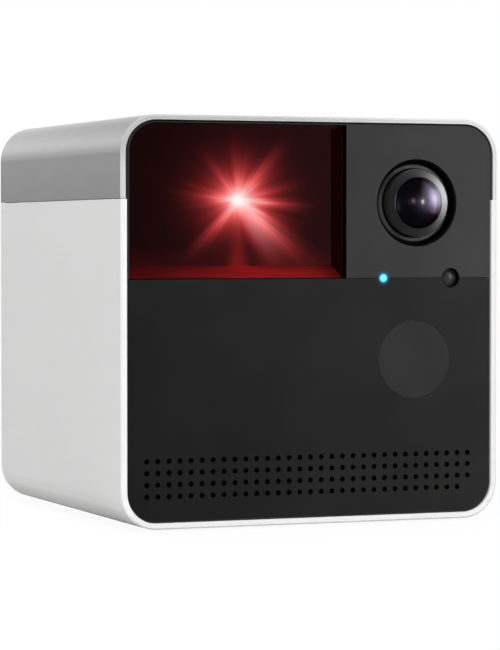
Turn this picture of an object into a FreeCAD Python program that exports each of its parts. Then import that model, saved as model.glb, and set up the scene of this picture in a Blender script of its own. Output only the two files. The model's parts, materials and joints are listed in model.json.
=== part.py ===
import FreeCAD, Part
import math
import os

# A cube shaped pet camera that throws a laser dot for a pet to chase.
# X runs to the right seen from the front, Y runs from the front to the back and Z runs up.
# All sizes are in millimetres. Heights are measured from the underside of the case, and the finished
# pieces are lifted by the foot's stand, so the origin is on the table, under the middle of the case.

# Case: an upper metal sleeve closed by a lower plastic sleeve
case_width = 81.0
case_depth = 81.0
case_height = 81.0
case_corner_radius = 7.35
upper_wall = 1.0
lower_wall = 1.25
sleeve_seam_below_top = 16.4
sleeve_seam_height = case_height - sleeve_seam_below_top
sleeve_seam_gap = 0.12
lip_bevel = 0.3
tongue_thickness = 0.9
tongue_height = 6.0
tongue_inset = 9.5
side_block_width = 6.5
side_block_height = 8.0
front_block_length = 6.0
rear_block_length = 9.0
sleeve_screw_pilot_diameter = 2.0

# Foot and tripod socket
foot_stand = 0.6
foot_recess = 0.45
foot_side_margin = 9.5
foot_corner_radius = 9.0
foot_clearance = 0.15
foot_hole_diameter = 16.0
tripod_thread_diameter = 5.1
tripod_insert_diameter = 9.4
tripod_insert_length = 9.0
tripod_boss_wall = 2.2
tripod_boss_cap = 1.6
tripod_press_clearance = 0.02

# Front panels and the plate behind them
panel_recess = 0.4
panel_gap = 0.12
panel_thickness = 2.0
panel_bevel = 0.15
panel_seam_below_top = 32.1
panel_seam_height = case_height - panel_seam_below_top
panel_seam_gap = 0.1
frame_gap = 0.1
frame_thickness = 2.0

# Laser window and the dark chamber behind it
window_side_margin = 1.9
window_top_margin = 1.55
window_to_lens = 15.45
window_corner_radius = 5.6
window_thickness = 1.5
window_gap = 0.05
chamber_depth = 7.2
chamber_wall = 0.5
chamber_back_wall = 1.2
chamber_clearance = 0.1
chamber_floor_front = 0.5
chamber_floor_back = 2.5
chamber_flange_height = 3.4
chamber_flange_thickness = 1.2
chamber_flange_inset = 3.0
chamber_tab_width = 4.6
chamber_tab_height = 7.0
chamber_screw_inset = 6.1

# Laser turret: it pans about a vertical axis and tilts about a cross axis
laser_right_of_middle = 1.675
laser_above_seam = 15.55
turret_behind_wall = 6.9
gear_module = 0.3
gear_teeth = 36
pinion_teeth = 12
gear_backlash = 0.05
gear_thickness = 1.4
pinion_clearance = 0.3
motor_shaft_diameter = 1.0
shaft_running_clearance = 0.03
laser_diameter = 4.4
laser_nose_length = 9.7
laser_tail_length = 5.3
laser_lens_diameter = 2.8
laser_lens_thickness = 0.7
laser_lens_recess = 0.2
laser_shroud_thickness = 0.5
laser_shroud_half_angle = 45.0
laser_sweep_clearance = 0.25
cradle_half_width = 3.0
cradle_half_length = 3.2
cradle_half_height = 3.2
cradle_press_clearance = 0.02
sector_half_angle = 38.0
sector_width = 1.2
sector_hub_diameter = 6.0
trunnion_diameter = 1.6
trunnion_end_inset = 0.2
yoke_arm_inner = 4.8
yoke_arm_thickness = 1.6
yoke_arm_half_depth = 1.8
yoke_arm_top = 2.4
yoke_disc_radius = 6.4
yoke_disc_thickness = 1.6
saddle_floor = 0.8
saddle_half_depth = 2.6
saddle_half_height = 1.3
saddle_clearance = 0.05
saddle_end_inset = 0.2
tilt_motor_diameter = 6.0
tilt_motor_left = 4.2
tilt_motor_right = 2.6
tilt_shaft_depth = 2.0
pan_shaft_diameter = 2.0
pan_shaft_below = 1.6
bracket_thickness = 2.0
bracket_under_gear = 0.6
bracket_half_width = 8.0
bracket_ear_width = 4.5
bracket_ear_thickness = 1.4
bracket_ear_height = 8.7
bracket_screw_bite = 0.85
bracket_overhang = 4.4
pan_motor_diameter = 8.0
pan_motor_length = 9.0
pan_shaft_depth = 3.0

# Camera lens
lens_side_distance = 17.8
lens_above_seam = 15.12
lens_hole_diameter = 16.85
lens_hole_bevel = 0.4
hood_clearance = 0.05
hood_front_recess = 1.6
hood_front_diameter = 15.65
hood_inner_diameter = 13.9
hood_bevel = 0.15
hood_flange_diameter = 20.0
hood_flange_thickness = 1.0
lens_ring_diameter = 13.6
lens_ring_proud = 0.4
lens_ring_depth = 0.9
lens_ring_bevel = 0.2
glass_diameter = 10.3
glass_clearance = 0.05
glass_rim_proud = 0.9
glass_dome_rise = 0.65
glass_edge = 1.4
glass_hollow = 0.5
barrel_front_diameter = 13.2
barrel_front_length = 9.0
barrel_thread_diameter = 12.6
barrel_length = 16.6
barrel_mouth_diameter = 8.6
barrel_throat_diameter = 5.0
barrel_cone_depth = 5.0
inner_lens_diameter = 7.2
inner_lens_thickness = 2.2
inner_lens_rise = 0.7
holder_width = 17.0
holder_front_length = 4.0
holder_cavity_width = 11.0
holder_length = 9.0
filter_gap = 0.3
filter_thickness = 0.6
filter_height = 8.0
filter_margin = 1.0
filter_window = 6.0
filter_travel = 6.5
coil_width = 7.0
coil_height = 4.5
coil_length = 5.0
sensor_width = 7.0
sensor_height = 5.6
sensor_thickness = 1.0
camera_board_width = 28.0
camera_board_height = 21.0
board_thickness = 1.2
camera_post_diameter = 4.4
camera_post_x = 11.4
camera_post_z = 8.0

# Status light, light sensor and night light on the small front board
status_left_of_lens = 7.35
status_diameter = 1.75
sensor_right_of_lens = 7.55
sensor_hole_diameter = 3.95
sensor_lens_diameter = 3.0
sensor_lens_recess = 1.2
sensor_can_diameter = 3.7
light_pipe_clearance = 0.05
light_pipe_hole = 2.2
led_chip_size = 1.6
led_chip_height = 0.8
night_left_of_lens = 0.55
night_height = 32.5
night_disc_diameter = 15.7
night_disc_thickness = 1.0
night_disc_gap = 0.04
night_ledge = 1.1
night_led_count = 6
night_led_circle = 9.4
night_led_diameter = 3.0
night_led_height = 2.4
front_board_left_reach = 11.1
front_board_right_reach = 10.4
front_board_below_night = 10.0
front_board_above_seam = 4.5
front_board_standoff = 2.6
front_post_diameter = 4.0
front_post_left_inset = 2.4
front_post_right_inset = 1.4
front_post_below_seam = 6.0

# Speaker behind the rows of holes
grille_rows = 4
grille_pitch_x = 2.307
grille_pitch_z = 2.31
grille_side_margin = 5.4
grille_left_of_middle = 0.495
grille_low_height = 6.42
grille_hole_diameter = 1.05
grille_cloth_thickness = 0.25
duct_margin = 1.4
duct_depth = 3.0
speaker_side_margin = 9.25
speaker_box_to_front_board = 2.25
speaker_box_below_motor = 3.25
speaker_box_bottom = 3.4
speaker_box_depth = 17.0
speaker_wall = 1.2
speaker_clearance = 0.1
speaker_throat_diameter = 16.0
speaker_basket_depth = 6.0
speaker_basket_wall = 0.8
speaker_flange_width = 2.0
surround_width = 2.5
surround_rise = 0.9
surround_thickness = 0.4
surround_gap = 0.1
cone_thickness = 0.4
coil_diameter = 8.0
coil_thickness = 0.4
coil_depth = 3.0
cone_depth = 3.6
dust_cap_rise = 1.6
magnet_diameter = 18.0
magnet_length = 5.2
magnet_gap = 0.2
magnet_gap_depth = 2.6

# Main board behind the works, carried by the rear cover
board_to_cover = 12.5
board_side_margin = 10.0
board_low = 8.0
board_top_margin = 9.0
main_board_thickness = 1.6
board_post_inset = 4.0
board_post_diameter = 5.0
screw_pilot_diameter = 1.6
screw_thread_diameter = 1.5
screw_clearance = 0.075
screw_head_diameter = 3.2
screw_head_height = 1.0
screw_length = 5.0
processor_x = -8.0
processor_height = 44.0
processor_size = 14.0
processor_thickness = 1.4
heat_sink_size = 26.0
heat_sink_base = 1.6
heat_sink_fin_height = 5.4
heat_sink_fins = 8
heat_sink_fin_thickness = 1.0
wifi_side_distance = 11.5
wifi_below_middle = 0.6
wifi_width = 16.0
wifi_length = 12.0
wifi_thickness = 2.4
memory_size = (9.0, 1.1, 11.0)
memory_from_side = 6.5
memory_from_top = 16.0
memory_pitch = 20.0
memory_count = 2
capacitor_diameter = 5.0
capacitor_length = 7.0
capacitor_right_x = (10.0, 17.0)
capacitor_below_connector = 4.5
capacitor_left_x = -12.0
capacitor_left_height = 10.0
connector_size = (12.0, 2.6, 4.0)
cable_width = 10.0
cable_thickness = 0.3
cable_step = 1.6
camera_cable_drop = 7.6
night_cable_drop = 10.0
antenna_length = 36.0
antenna_width = 7.0
antenna_thickness = 0.6
antenna_front_y = -12.0
antenna_height = 30.0

# Rear cover with its vents, power inlet and reset button
cover_thickness = 2.0
cover_bevel = 0.15
cover_screw_side_margin = 5.3
cover_screw_margin = 6.8
cover_screw_diameter = 2.4
cover_screw_clearance = 0.15
cover_screw_head_diameter = 4.4
cover_screw_head_height = 1.3
case_screw_length = 6.0
case_screw_spare = 1.0
cross_length = 2.4
cross_width = 0.45
cross_depth = 0.7
vent_count = 13
vent_pitch = 4.0
vent_width = 1.6
vent_length = 18.0
vent_low_height = 34.0
vent_high_below_top = 23.0
inlet_x = 0.0
inlet_height = 14.0
inlet_width = 13.0
inlet_tall = 8.2
inlet_depth = 5.5
inlet_wall = 1.2
inlet_corner_radius = 2.0
socket_width = 8.94
socket_tall = 3.26
socket_wall = 0.3
socket_clearance = 0.12
socket_tongue_width = 6.7
socket_tongue_tall = 0.7
socket_tongue_recess = 0.6
socket_cavity_depth = 6.2
button_from_inlet = 16.0
button_height = 14.0
button_diameter = 4.5
button_clearance = 0.1
button_recess = 0.2
button_travel = 0.8
button_guide_length = 2.0
button_guide_wall = 1.3
button_flange_diameter = 6.2
button_flange_thickness = 1.0
button_stem_diameter = 2.4
switch_size = 6.0
switch_thickness = 3.5
switch_plunger_diameter = 3.0
switch_plunger_height = 1.0
button_rest_gap = 0.1
sleeve_base_diameter = 5.8
sleeve_top_diameter = 5.0
sleeve_wall = 0.5

# Planes from front to back
front_y = -case_depth / 2
rear_y = case_depth / 2
panel_front_y = front_y + panel_recess
panel_back_y = panel_front_y + panel_thickness
frame_back_y = panel_back_y + frame_thickness
window_back_y = panel_front_y + window_thickness
chamber_back_y = front_y + chamber_depth
chamber_end_y = chamber_back_y + chamber_back_wall
turret_y = chamber_end_y + turret_behind_wall
front_board_y = frame_back_y + front_board_standoff
baffle_y = frame_back_y + duct_depth
basket_y = baffle_y + speaker_wall
barrel_end_y = panel_front_y + barrel_length
holder_front_y = barrel_end_y - holder_front_length
filter_y = barrel_end_y + filter_gap
camera_board_y = holder_front_y + holder_length
cover_back_y = rear_y - panel_recess
cover_front_y = cover_back_y - cover_thickness
board_back_y = cover_front_y - board_to_cover
board_front_y = board_back_y - main_board_thickness
inlet_floor_y = cover_back_y - inlet_depth
guide_end_y = cover_front_y - button_guide_length
switch_top_y = board_back_y + switch_thickness

# Places across the front
lens_x = case_width / 2 - lens_side_distance
lens_height = panel_seam_height + lens_above_seam
window_left = -case_width / 2 + window_side_margin
window_right = lens_x - window_to_lens
window_top = case_height - window_top_margin
laser_x = (window_left + window_right) / 2 + laser_right_of_middle
laser_height = panel_seam_height + laser_above_seam
status_x = lens_x - status_left_of_lens
sensor_hole_x = lens_x + sensor_right_of_lens
night_x = lens_x - night_left_of_lens
front_board_left = lens_x - front_board_left_reach
front_board_right = lens_x + front_board_right_reach
front_board_low = night_height - front_board_below_night
front_board_high = panel_seam_height + front_board_above_seam
grille_columns = math.floor((case_width - 2 * grille_side_margin) / grille_pitch_x) + 1
grille_first_x = -(grille_columns - 1) * grille_pitch_x / 2 - grille_left_of_middle

# Gear sizes
gear_radius = gear_module * gear_teeth / 2
pinion_radius = gear_module * pinion_teeth / 2
gear_distance = gear_radius + pinion_radius
pressure_angle = math.radians(20.0)
gear_addendum = 0.75 * gear_module
gear_dedendum = 1.25 * gear_module

# Heights in the laser turret, counted down from the tilt axis
tilt_motor_height = laser_height - gear_distance
yoke_disc_top = tilt_motor_height - tilt_motor_diameter / 2 - saddle_floor
yoke_disc_bottom = yoke_disc_top - yoke_disc_thickness
pan_gear_bottom = yoke_disc_bottom - gear_thickness
bracket_top = pan_gear_bottom - bracket_under_gear
bracket_bottom = bracket_top - bracket_thickness
pan_motor_y = turret_y + gear_distance
pan_motor_bottom = bracket_bottom - pan_motor_length

# Speaker box, in the room left between the case, the front board and the laser's motor
speaker_box_left = -case_width / 2 + speaker_side_margin
speaker_box_right = front_board_left - speaker_box_to_front_board
speaker_box_top = pan_motor_bottom - speaker_box_below_motor
speaker_x = (speaker_box_left + speaker_box_right) / 2
speaker_height = (speaker_box_bottom + speaker_box_top) / 2
speaker_diameter = speaker_box_top - speaker_box_bottom - 2 * speaker_wall - 2 * speaker_clearance
baffle_hole_diameter = speaker_diameter - 2 * speaker_flange_width
surround_inner_diameter = baffle_hole_diameter - 2 * surround_width

# Places on the main board and the rear cover
board_half_width = case_width / 2 - board_side_margin
board_high = case_height - board_top_margin
board_post_x = board_half_width - board_post_inset
board_post_heights = (board_low + board_post_inset, board_high - board_post_inset)
cover_screw_x = case_width / 2 - cover_screw_side_margin
cover_screw_heights = (cover_screw_margin, case_height - cover_screw_margin)
vent_heights = (vent_low_height, case_height - vent_high_below_top)
button_x = inlet_x + button_from_inlet

# The ball that the laser's nose and its shroud sweep about the turret's middle
laser_shroud_radius = math.hypot(laser_nose_length, laser_diameter / 2)
laser_sweep_radius = laser_shroud_radius + laser_sweep_clearance

Vector = FreeCAD.Vector
AXIS_X = Vector(1, 0, 0)
AXIS_Y = Vector(0, 1, 0)
AXIS_Z = Vector(0, 0, 1)
turret_middle = Vector(laser_x, turret_y, laser_height)
# how far a cutting tool runs past a face, and the flat left between two arcs of a round end
BEYOND = 5.0
arc_spare = 0.01


def box(x0, x1, y0, y1, z0, z1):
    return Part.makeBox(x1 - x0, y1 - y0, z1 - z0, Vector(x0, y0, z0))


def rod_x(x0, x1, y, z, diameter):
    return Part.makeCylinder(diameter / 2, x1 - x0, Vector(x0, y, z), AXIS_X)


def rod_y(x, z, y0, y1, diameter):
    return Part.makeCylinder(diameter / 2, y1 - y0, Vector(x, y0, z), AXIS_Y)


def rod_z(x, y, z0, z1, diameter):
    return Part.makeCylinder(diameter / 2, z1 - z0, Vector(x, y, z0), AXIS_Z)


def cone_y(x, z, y0, y1, diameter0, diameter1):
    return Part.makeCone(diameter0 / 2, diameter1 / 2, y1 - y0, Vector(x, y0, z), AXIS_Y)


def joined(first, *others):
    return first.multiFuse(list(others)).removeSplitter()


def without(shape, *tools):
    return shape.cut(Part.makeCompound(list(tools)))


def screw_hole(x, z, y0, y1):
    """A clearance hole for a small screw."""
    return rod_y(x, z, y0, y1, screw_thread_diameter + 2 * screw_clearance)


def ring_y(x, z, y0, y1, outer, inner):
    return without(rod_y(x, z, y0, y1, outer), rod_y(x, z, y0 - BEYOND, y1 + BEYOND, inner))


def turned(profile, x, z):
    """A piece turned about the axis along Y through x and z, from (radius, y) points."""
    points = [Vector(x + radius, y, z) for radius, y in profile]
    face = Part.Face(Part.makePolygon(points + points[:1]))
    return face.revolve(Vector(x, 0, z), AXIS_Y, 360)


def rounded_prism(x0, x1, z0, z1, radii, y0, y1):
    """A prism along Y. The radii are those of the lower left, lower right, upper right and upper left."""
    corners = ((x0, z0, 1, 1), (x1, z0, -1, 1), (x1, z1, -1, -1), (x0, z1, 1, -1))
    stops, arcs = [], []
    for (x, z, in_x, in_z), radius in zip(corners, radii):
        beside = Vector(x + in_x * radius, y0, z)
        above = Vector(x, y0, z + in_z * radius)
        enter, leave = (above, beside) if in_x == in_z else (beside, above)
        stops.append((enter, leave))
        if radius > 0:
            slant = radius * (1 - math.sqrt(0.5))
            middle = Vector(x + in_x * slant, y0, z + in_z * slant)
            arcs.append(Part.Arc(enter, middle, leave).toShape())
        else:
            arcs.append(None)
    edges = []
    for n, arc in enumerate(arcs):
        if arc is not None:
            edges.append(arc)
        edges.append(Part.makeLine(stops[n][1], stops[(n + 1) % 4][0]))
    return Part.Face(Part.Wire(edges)).extrude(Vector(0, y1 - y0, 0))


def bevelled(shape, y, size):
    """The shape with the edges that lie in the plane at y bevelled."""
    edges = []
    for edge in shape.Edges:
        bounds = edge.BoundBox
        if abs(bounds.YMin - y) < 1e-4 and abs(bounds.YMax - y) < 1e-4:
            edges.append(edge)
    return shape.makeChamfer(size, edges)


def case_prism(inset, y0, y1):
    half = case_width / 2 - inset
    radii = [case_corner_radius - inset] * 4
    return rounded_prism(-half, half, inset, case_height - inset, radii, y0, y1)


def slab(z0, z1):
    """All the room between two heights."""
    return box(-case_width, case_width, -case_depth, case_depth, z0, z1)


def inside_case(gap, y0, y1, bevel_y=None, bevel=0.0):
    """What fills the inside of both sleeves with a gap all round."""
    halves = []
    for wall, low, high in (
        (lower_wall, -BEYOND, sleeve_seam_height),
        (upper_wall, sleeve_seam_height, case_height + BEYOND),
    ):
        prism = case_prism(wall + gap, y0, y1)
        if bevel_y is not None:
            prism = bevelled(prism, bevel_y, bevel)
        halves.append(prism.common(slab(low, high)))
    return joined(*halves)


def side_block(side, z0, z1, y0, y1):
    """A block against one side wall that takes a screw along Y."""
    outer = case_width / 2 - lower_wall / 2
    x0, x1 = sorted((side * (outer - side_block_width), side * case_width / 2))
    return box(x0, x1, y0, y1, z0, z1).common(case_prism(lower_wall / 2, y0, y1))


def screw_y(x, z, head_y, direction, thread, length, head, head_height):
    """A screw along Y with its head at head_y and its thread running in the given direction."""
    near, far = sorted((head_y, head_y + direction * length))
    top, seat = sorted((head_y - direction * head_height, head_y))
    return joined(rod_y(x, z, near, far, thread), rod_y(x, z, top, seat, head))


# Case


def sleeve(wall, z0, z1):
    outer = bevelled(case_prism(0.0, front_y, rear_y), front_y, lip_bevel)
    outer = bevelled(outer, rear_y, lip_bevel)
    hollow = case_prism(wall, front_y - BEYOND, rear_y + BEYOND)
    return without(outer, hollow).common(slab(z0, z1))


front_screw_x = case_width / 2 - lower_wall / 2 - side_block_width / 2
lower_front_screw_height = 22.0
upper_front_screw_height = case_height - cover_screw_margin
front_screw_places = (
    (-front_screw_x, lower_front_screw_height),
    (front_screw_x, lower_front_screw_height),
    (front_screw_x, upper_front_screw_height),
)


def front_block(x, z):
    half = side_block_height / 2
    y0 = frame_back_y
    block = side_block(math.copysign(1, x), z - half, z + half, y0, y0 + front_block_length)
    return without(block, rod_y(x, z, y0 - BEYOND, y0 + case_screw_length, sleeve_screw_pilot_diameter))


def rear_block(side, z):
    half = side_block_height / 2
    low, high = (0.0, z + half) if z < case_height / 2 else (z - half, case_height)
    y1 = cover_front_y
    block = side_block(side, low, high, y1 - rear_block_length, y1)
    pilot_y = y1 - case_screw_length - case_screw_spare
    pilot = rod_y(side * cover_screw_x, z, pilot_y, y1 + BEYOND, sleeve_screw_pilot_diameter)
    return without(block, pilot)


def tongue(side):
    """A strip on the lower sleeve that the upper sleeve laps over."""
    inner = case_width / 2 - lower_wall
    x0, x1 = sorted((side * (inner - tongue_thickness), side * (inner + lower_wall / 2)))
    z0 = sleeve_seam_height - tongue_height / 2
    strip = box(x0, x1, front_y + tongue_inset, rear_y - tongue_inset, z0, z0 + tongue_height)
    above = slab(sleeve_seam_height - sleeve_seam_gap / 2, case_height)
    return without(strip, above.cut(case_prism(lower_wall, front_y, rear_y)))


def upper_sleeve():
    shell = sleeve(upper_wall, sleeve_seam_height + sleeve_seam_gap / 2, case_height)
    blocks = [front_block(*front_screw_places[2])]
    blocks += [rear_block(side, cover_screw_heights[1]) for side in (-1, 1)]
    return joined(shell, *blocks)


def lower_sleeve():
    shell = sleeve(lower_wall, 0.0, sleeve_seam_height - sleeve_seam_gap / 2)
    blocks = [front_block(*place) for place in front_screw_places[:2]]
    blocks += [rear_block(side, cover_screw_heights[0]) for side in (-1, 1)]
    blocks += [tongue(side) for side in (-1, 1)]
    boss_top = tripod_insert_length + tripod_boss_cap
    boss_diameter = tripod_insert_diameter + 2 * tripod_boss_wall
    shell = joined(shell, *blocks, rod_z(0, 0, 0, boss_top, boss_diameter))
    insert = tripod_insert_diameter + 2 * tripod_press_clearance
    return without(
        shell,
        foot_prism(0.0, -BEYOND, foot_recess),
        rod_z(0, 0, -BEYOND, tripod_insert_length, insert),
    )


def foot_prism(inset, z0, z1):
    """The foot's outline, a rounded square, as a prism along Z with a hole left for the socket."""
    half_x = case_width / 2 - foot_side_margin - inset
    half_y = case_depth / 2 - foot_side_margin - inset
    radii = [foot_corner_radius - inset] * 4
    flat = rounded_prism(-half_x, half_x, -half_y, half_y, radii, 0, z1 - z0)
    flat.rotate(Vector(0, 0, 0), AXIS_X, 90)
    flat.translate(Vector(0, 0, z0))
    hole = rod_z(0, 0, z0 - BEYOND, z1 + BEYOND, foot_hole_diameter + 2 * inset)
    return without(flat, hole)


def foot_pad():
    return foot_prism(foot_clearance, -foot_stand, foot_recess)


def tripod_insert():
    body = rod_z(0, 0, 0, tripod_insert_length, tripod_insert_diameter)
    return without(body, rod_z(0, 0, -BEYOND, tripod_insert_length + BEYOND, tripod_thread_diameter))


# Front panels


def window_prism(inset, y0, y1):
    z0 = panel_seam_height + panel_seam_gap / 2
    radii = (0, 0, 0, window_corner_radius - inset)
    return rounded_prism(
        window_left + inset,
        window_right - inset,
        z0 + inset,
        window_top - inset,
        radii,
        y0,
        y1,
    )


def seam_holes():
    """The status light's hole and the sensor's, which lie half in each panel."""
    y0, y1 = panel_front_y - BEYOND, panel_back_y + BEYOND
    pipe = status_diameter + 2 * light_pipe_clearance
    return [
        rod_y(status_x, panel_seam_height, y0, y1, pipe),
        rod_y(sensor_hole_x, panel_seam_height, y0, y1, sensor_hole_diameter),
    ]


def panel_blank():
    return inside_case(panel_gap, panel_front_y, panel_back_y, panel_front_y, panel_bevel)


def front_panel_upper():
    panel = panel_blank().common(slab(panel_seam_height + panel_seam_gap / 2, case_height))
    bevel_y = panel_front_y + lens_hole_bevel
    wide = lens_hole_diameter + 2 * lens_hole_bevel
    lens_bevel = cone_y(lens_x, lens_height, panel_front_y, bevel_y, wide, lens_hole_diameter)
    return without(
        panel,
        window_prism(0.0, panel_front_y - BEYOND, panel_back_y + BEYOND),
        rod_y(lens_x, lens_height, panel_front_y - BEYOND, panel_back_y + BEYOND, lens_hole_diameter),
        lens_bevel,
        *seam_holes(),
    )


def grille_holes():
    holes = []
    for row in range(grille_rows):
        z = grille_low_height + row * grille_pitch_z
        # the lowest row is one hole short at its right end
        columns = grille_columns - 1 if row == 0 else grille_columns
        for column in range(columns):
            x = grille_first_x + column * grille_pitch_x
            holes.append(rod_y(x, z, panel_front_y - BEYOND, panel_back_y + BEYOND, grille_hole_diameter))
    return holes


def front_panel_lower():
    panel = panel_blank().common(slab(0.0, panel_seam_height - panel_seam_gap / 2))
    seat_y = panel_front_y + night_disc_thickness
    ledge = night_disc_diameter - 2 * night_ledge
    return without(
        panel,
        rod_y(night_x, night_height, panel_front_y - BEYOND, seat_y, night_disc_diameter),
        rod_y(night_x, night_height, panel_front_y - BEYOND, panel_back_y + BEYOND, ledge),
        *seam_holes(),
        *grille_holes(),
    )


def night_window():
    seat_y = panel_front_y + night_disc_thickness
    diameter = night_disc_diameter - 2 * night_disc_gap
    return rod_y(night_x, night_height, panel_front_y, seat_y, diameter)


def laser_window():
    return window_prism(window_gap, panel_front_y, window_back_y)


def board_post(x, z, y0, y1, diameter):
    """A post between two planes with a pilot hole in its rear end."""
    post = rod_y(x, z, y0, y1, diameter)
    return without(post, rod_y(x, z, y1 - screw_length, y1 + BEYOND, screw_pilot_diameter))


def camera_post_places():
    return (
        (lens_x - camera_post_x, lens_height + camera_post_z),
        (lens_x + camera_post_x, lens_height - camera_post_z),
    )


def front_post_places():
    z = panel_seam_height - front_post_below_seam
    return [(front_board_left + front_post_left_inset, z), (front_board_right - front_post_right_inset, z)]


def front_frame():
    """The plate behind the panels that everything at the front is fixed to."""
    plate = inside_case(frame_gap, panel_back_y, frame_back_y)
    y0, y1 = panel_back_y - BEYOND, frame_back_y + BEYOND
    flange_y = panel_back_y + hood_flange_thickness
    chamber_room = box(
        -case_width,
        window_right,
        y0,
        y1,
        panel_seam_height + panel_seam_gap / 2,
        case_height + BEYOND,
    )
    left, right, low, high = duct_box()
    night_hole = night_disc_diameter - 2 * night_ledge
    cuts = [
        chamber_room,
        rod_y(lens_x, lens_height, y0, flange_y, hood_flange_diameter + 2 * hood_clearance),
        rod_y(lens_x, lens_height, y0, y1, lens_hole_diameter),
        rod_y(status_x, panel_seam_height, y0, y1, light_pipe_hole),
        rod_y(sensor_hole_x, panel_seam_height, y0, y1, sensor_hole_diameter),
        rod_y(night_x, night_height, y0, y1, night_hole),
        box(left, right, y0, y1, low, high),
    ]
    for x, z in front_screw_places:
        cuts.append(rod_y(x, z, y0, y1, cover_screw_diameter + 2 * cover_screw_clearance))
        head_y = panel_back_y + cover_screw_head_height
        cuts.append(rod_y(x, z, y0, head_y, cover_screw_head_diameter + 2 * cover_screw_clearance))
    for x, z in chamber_screw_places():
        cuts.append(rod_y(x, z, y0, y1, screw_pilot_diameter))
    plate = without(plate, *cuts)
    posts = [
        board_post(x, z, frame_back_y, camera_board_y, camera_post_diameter)
        for x, z in camera_post_places()
    ]
    posts += [
        board_post(x, z, frame_back_y, front_board_y, front_post_diameter)
        for x, z in front_post_places()
    ]
    return joined(plate, *posts)


# Laser chamber and turret


def chamber_screw_places():
    z = panel_seam_height - chamber_flange_height / 2
    return (
        (window_left + chamber_flange_inset + chamber_screw_inset, z),
        (window_right - chamber_screw_inset, z),
        (window_right + chamber_tab_width / 2, panel_seam_height + chamber_tab_height / 2),
    )


def laser_chamber():
    """A dark box behind the window with a sloped floor and a round opening for the laser."""
    outer = window_prism(chamber_clearance, window_back_y, chamber_end_y)
    hollow = window_prism(chamber_wall, window_back_y - BEYOND, chamber_back_y)
    low = panel_seam_height + panel_seam_gap / 2 + chamber_clearance
    left, right = window_left + chamber_clearance, window_right - chamber_clearance
    floor_points = [
        Vector(left, window_back_y, low),
        Vector(left, window_back_y, panel_seam_height + chamber_floor_front),
        Vector(left, chamber_back_y, panel_seam_height + chamber_floor_back),
        Vector(left, chamber_back_y, low),
    ]
    floor_face = Part.Face(Part.makePolygon(floor_points + floor_points[:1]))
    hollow = hollow.cut(floor_face.extrude(Vector(right - left, 0, 0)))
    opening = Part.makeSphere(laser_sweep_radius, turret_middle)
    flange_y = frame_back_y + chamber_flange_thickness
    seam = panel_seam_height + panel_seam_gap / 2
    flange = box(
        window_left + chamber_flange_inset,
        window_right,
        frame_back_y,
        flange_y,
        panel_seam_height - chamber_flange_height,
        seam + chamber_wall,
    )
    tab = box(
        window_right - chamber_wall,
        window_right + chamber_tab_width,
        frame_back_y,
        flange_y,
        seam + chamber_clearance,
        panel_seam_height + chamber_tab_height,
    )
    body = joined(outer, flange, tab)
    holes = [
        screw_hole(x, z, frame_back_y - BEYOND, flange_y + BEYOND)
        for x, z in chamber_screw_places()
    ]
    holes += [
        screw_hole(x, z, chamber_end_y - bracket_screw_bite - screw_clearance, chamber_end_y + 1)
        for x, z in bracket_screw_places()
    ]
    return without(body, hollow, opening, *holes)


def bracket_screw_places():
    reach = bracket_half_width + bracket_ear_width / 2
    z = bracket_bottom + bracket_ear_height - screw_head_diameter
    return ((laser_x - reach, z), (laser_x + reach, z))


def gimbal_bracket():
    """A plate under the turret with the pan bearing, held by two ears on the chamber's back."""
    plate_end = pan_motor_y + bracket_overhang
    plate = box(
        laser_x - bracket_half_width,
        laser_x + bracket_half_width,
        chamber_end_y,
        plate_end,
        bracket_bottom,
        bracket_top,
    )
    ears = []
    for side in (-1, 1):
        inner = laser_x + side * bracket_half_width
        x0, x1 = sorted((inner, inner + side * bracket_ear_width))
        ears.append(
            box(
                x0,
                x1,
                chamber_end_y,
                chamber_end_y + bracket_ear_thickness,
                bracket_bottom,
                bracket_bottom + bracket_ear_height,
            )
        )
    holes = [
        screw_hole(x, z, chamber_end_y - 1, chamber_end_y + BEYOND)
        for x, z in bracket_screw_places()
    ]
    bearing = pan_shaft_diameter + 2 * shaft_running_clearance
    motor_hole = 2 * motor_shaft_diameter
    holes.append(rod_z(laser_x, turret_y, bracket_bottom - 1, bracket_top + 1, bearing))
    holes.append(rod_z(laser_x, pan_motor_y, bracket_bottom - 1, bracket_top + 1, motor_hole))
    return without(joined(plate, *ears), *holes)


def involute(angle):
    return math.tan(angle) - angle


def gear_blank(teeth, tooth_angle, length):
    """A spur gear along Z on the origin, with one tooth centred on tooth_angle."""
    radius = gear_module * teeth / 2
    base = radius * math.cos(pressure_angle)
    root = radius - gear_dedendum
    tip = radius + gear_addendum
    half_at_pitch = (math.pi * gear_module / 2 - gear_backlash) / 2 / radius
    flank_steps = 4
    start = max(base, root)
    flank = []
    for step in range(flank_steps + 1):
        distance = start + (tip - start) * step / flank_steps
        turn = involute(math.acos(base / distance)) if distance > base else 0.0
        flank.append((distance, half_at_pitch + involute(pressure_angle) - turn))
    if root < base:
        flank.insert(0, (root, flank[0][1]))
    points = []
    for tooth in range(teeth):
        centre = tooth_angle + 2 * math.pi * tooth / teeth
        outline = [(d, centre - half) for d, half in flank]
        outline += [(d, centre + half) for d, half in reversed(flank)]
        points += [Vector(d * math.cos(a), d * math.sin(a), 0) for d, a in outline]
    face = Part.Face(Part.makePolygon(points + points[:1]))
    return face.extrude(Vector(0, 0, length))


def pan_gear():
    gear = gear_blank(gear_teeth, math.pi / 2, gear_thickness)
    gear.translate(Vector(laser_x, turret_y, pan_gear_bottom))
    bore = pan_shaft_diameter + 2 * cradle_press_clearance
    return without(gear, rod_z(laser_x, turret_y, pan_gear_bottom - 1, yoke_disc_bottom + 1, bore))


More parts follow.
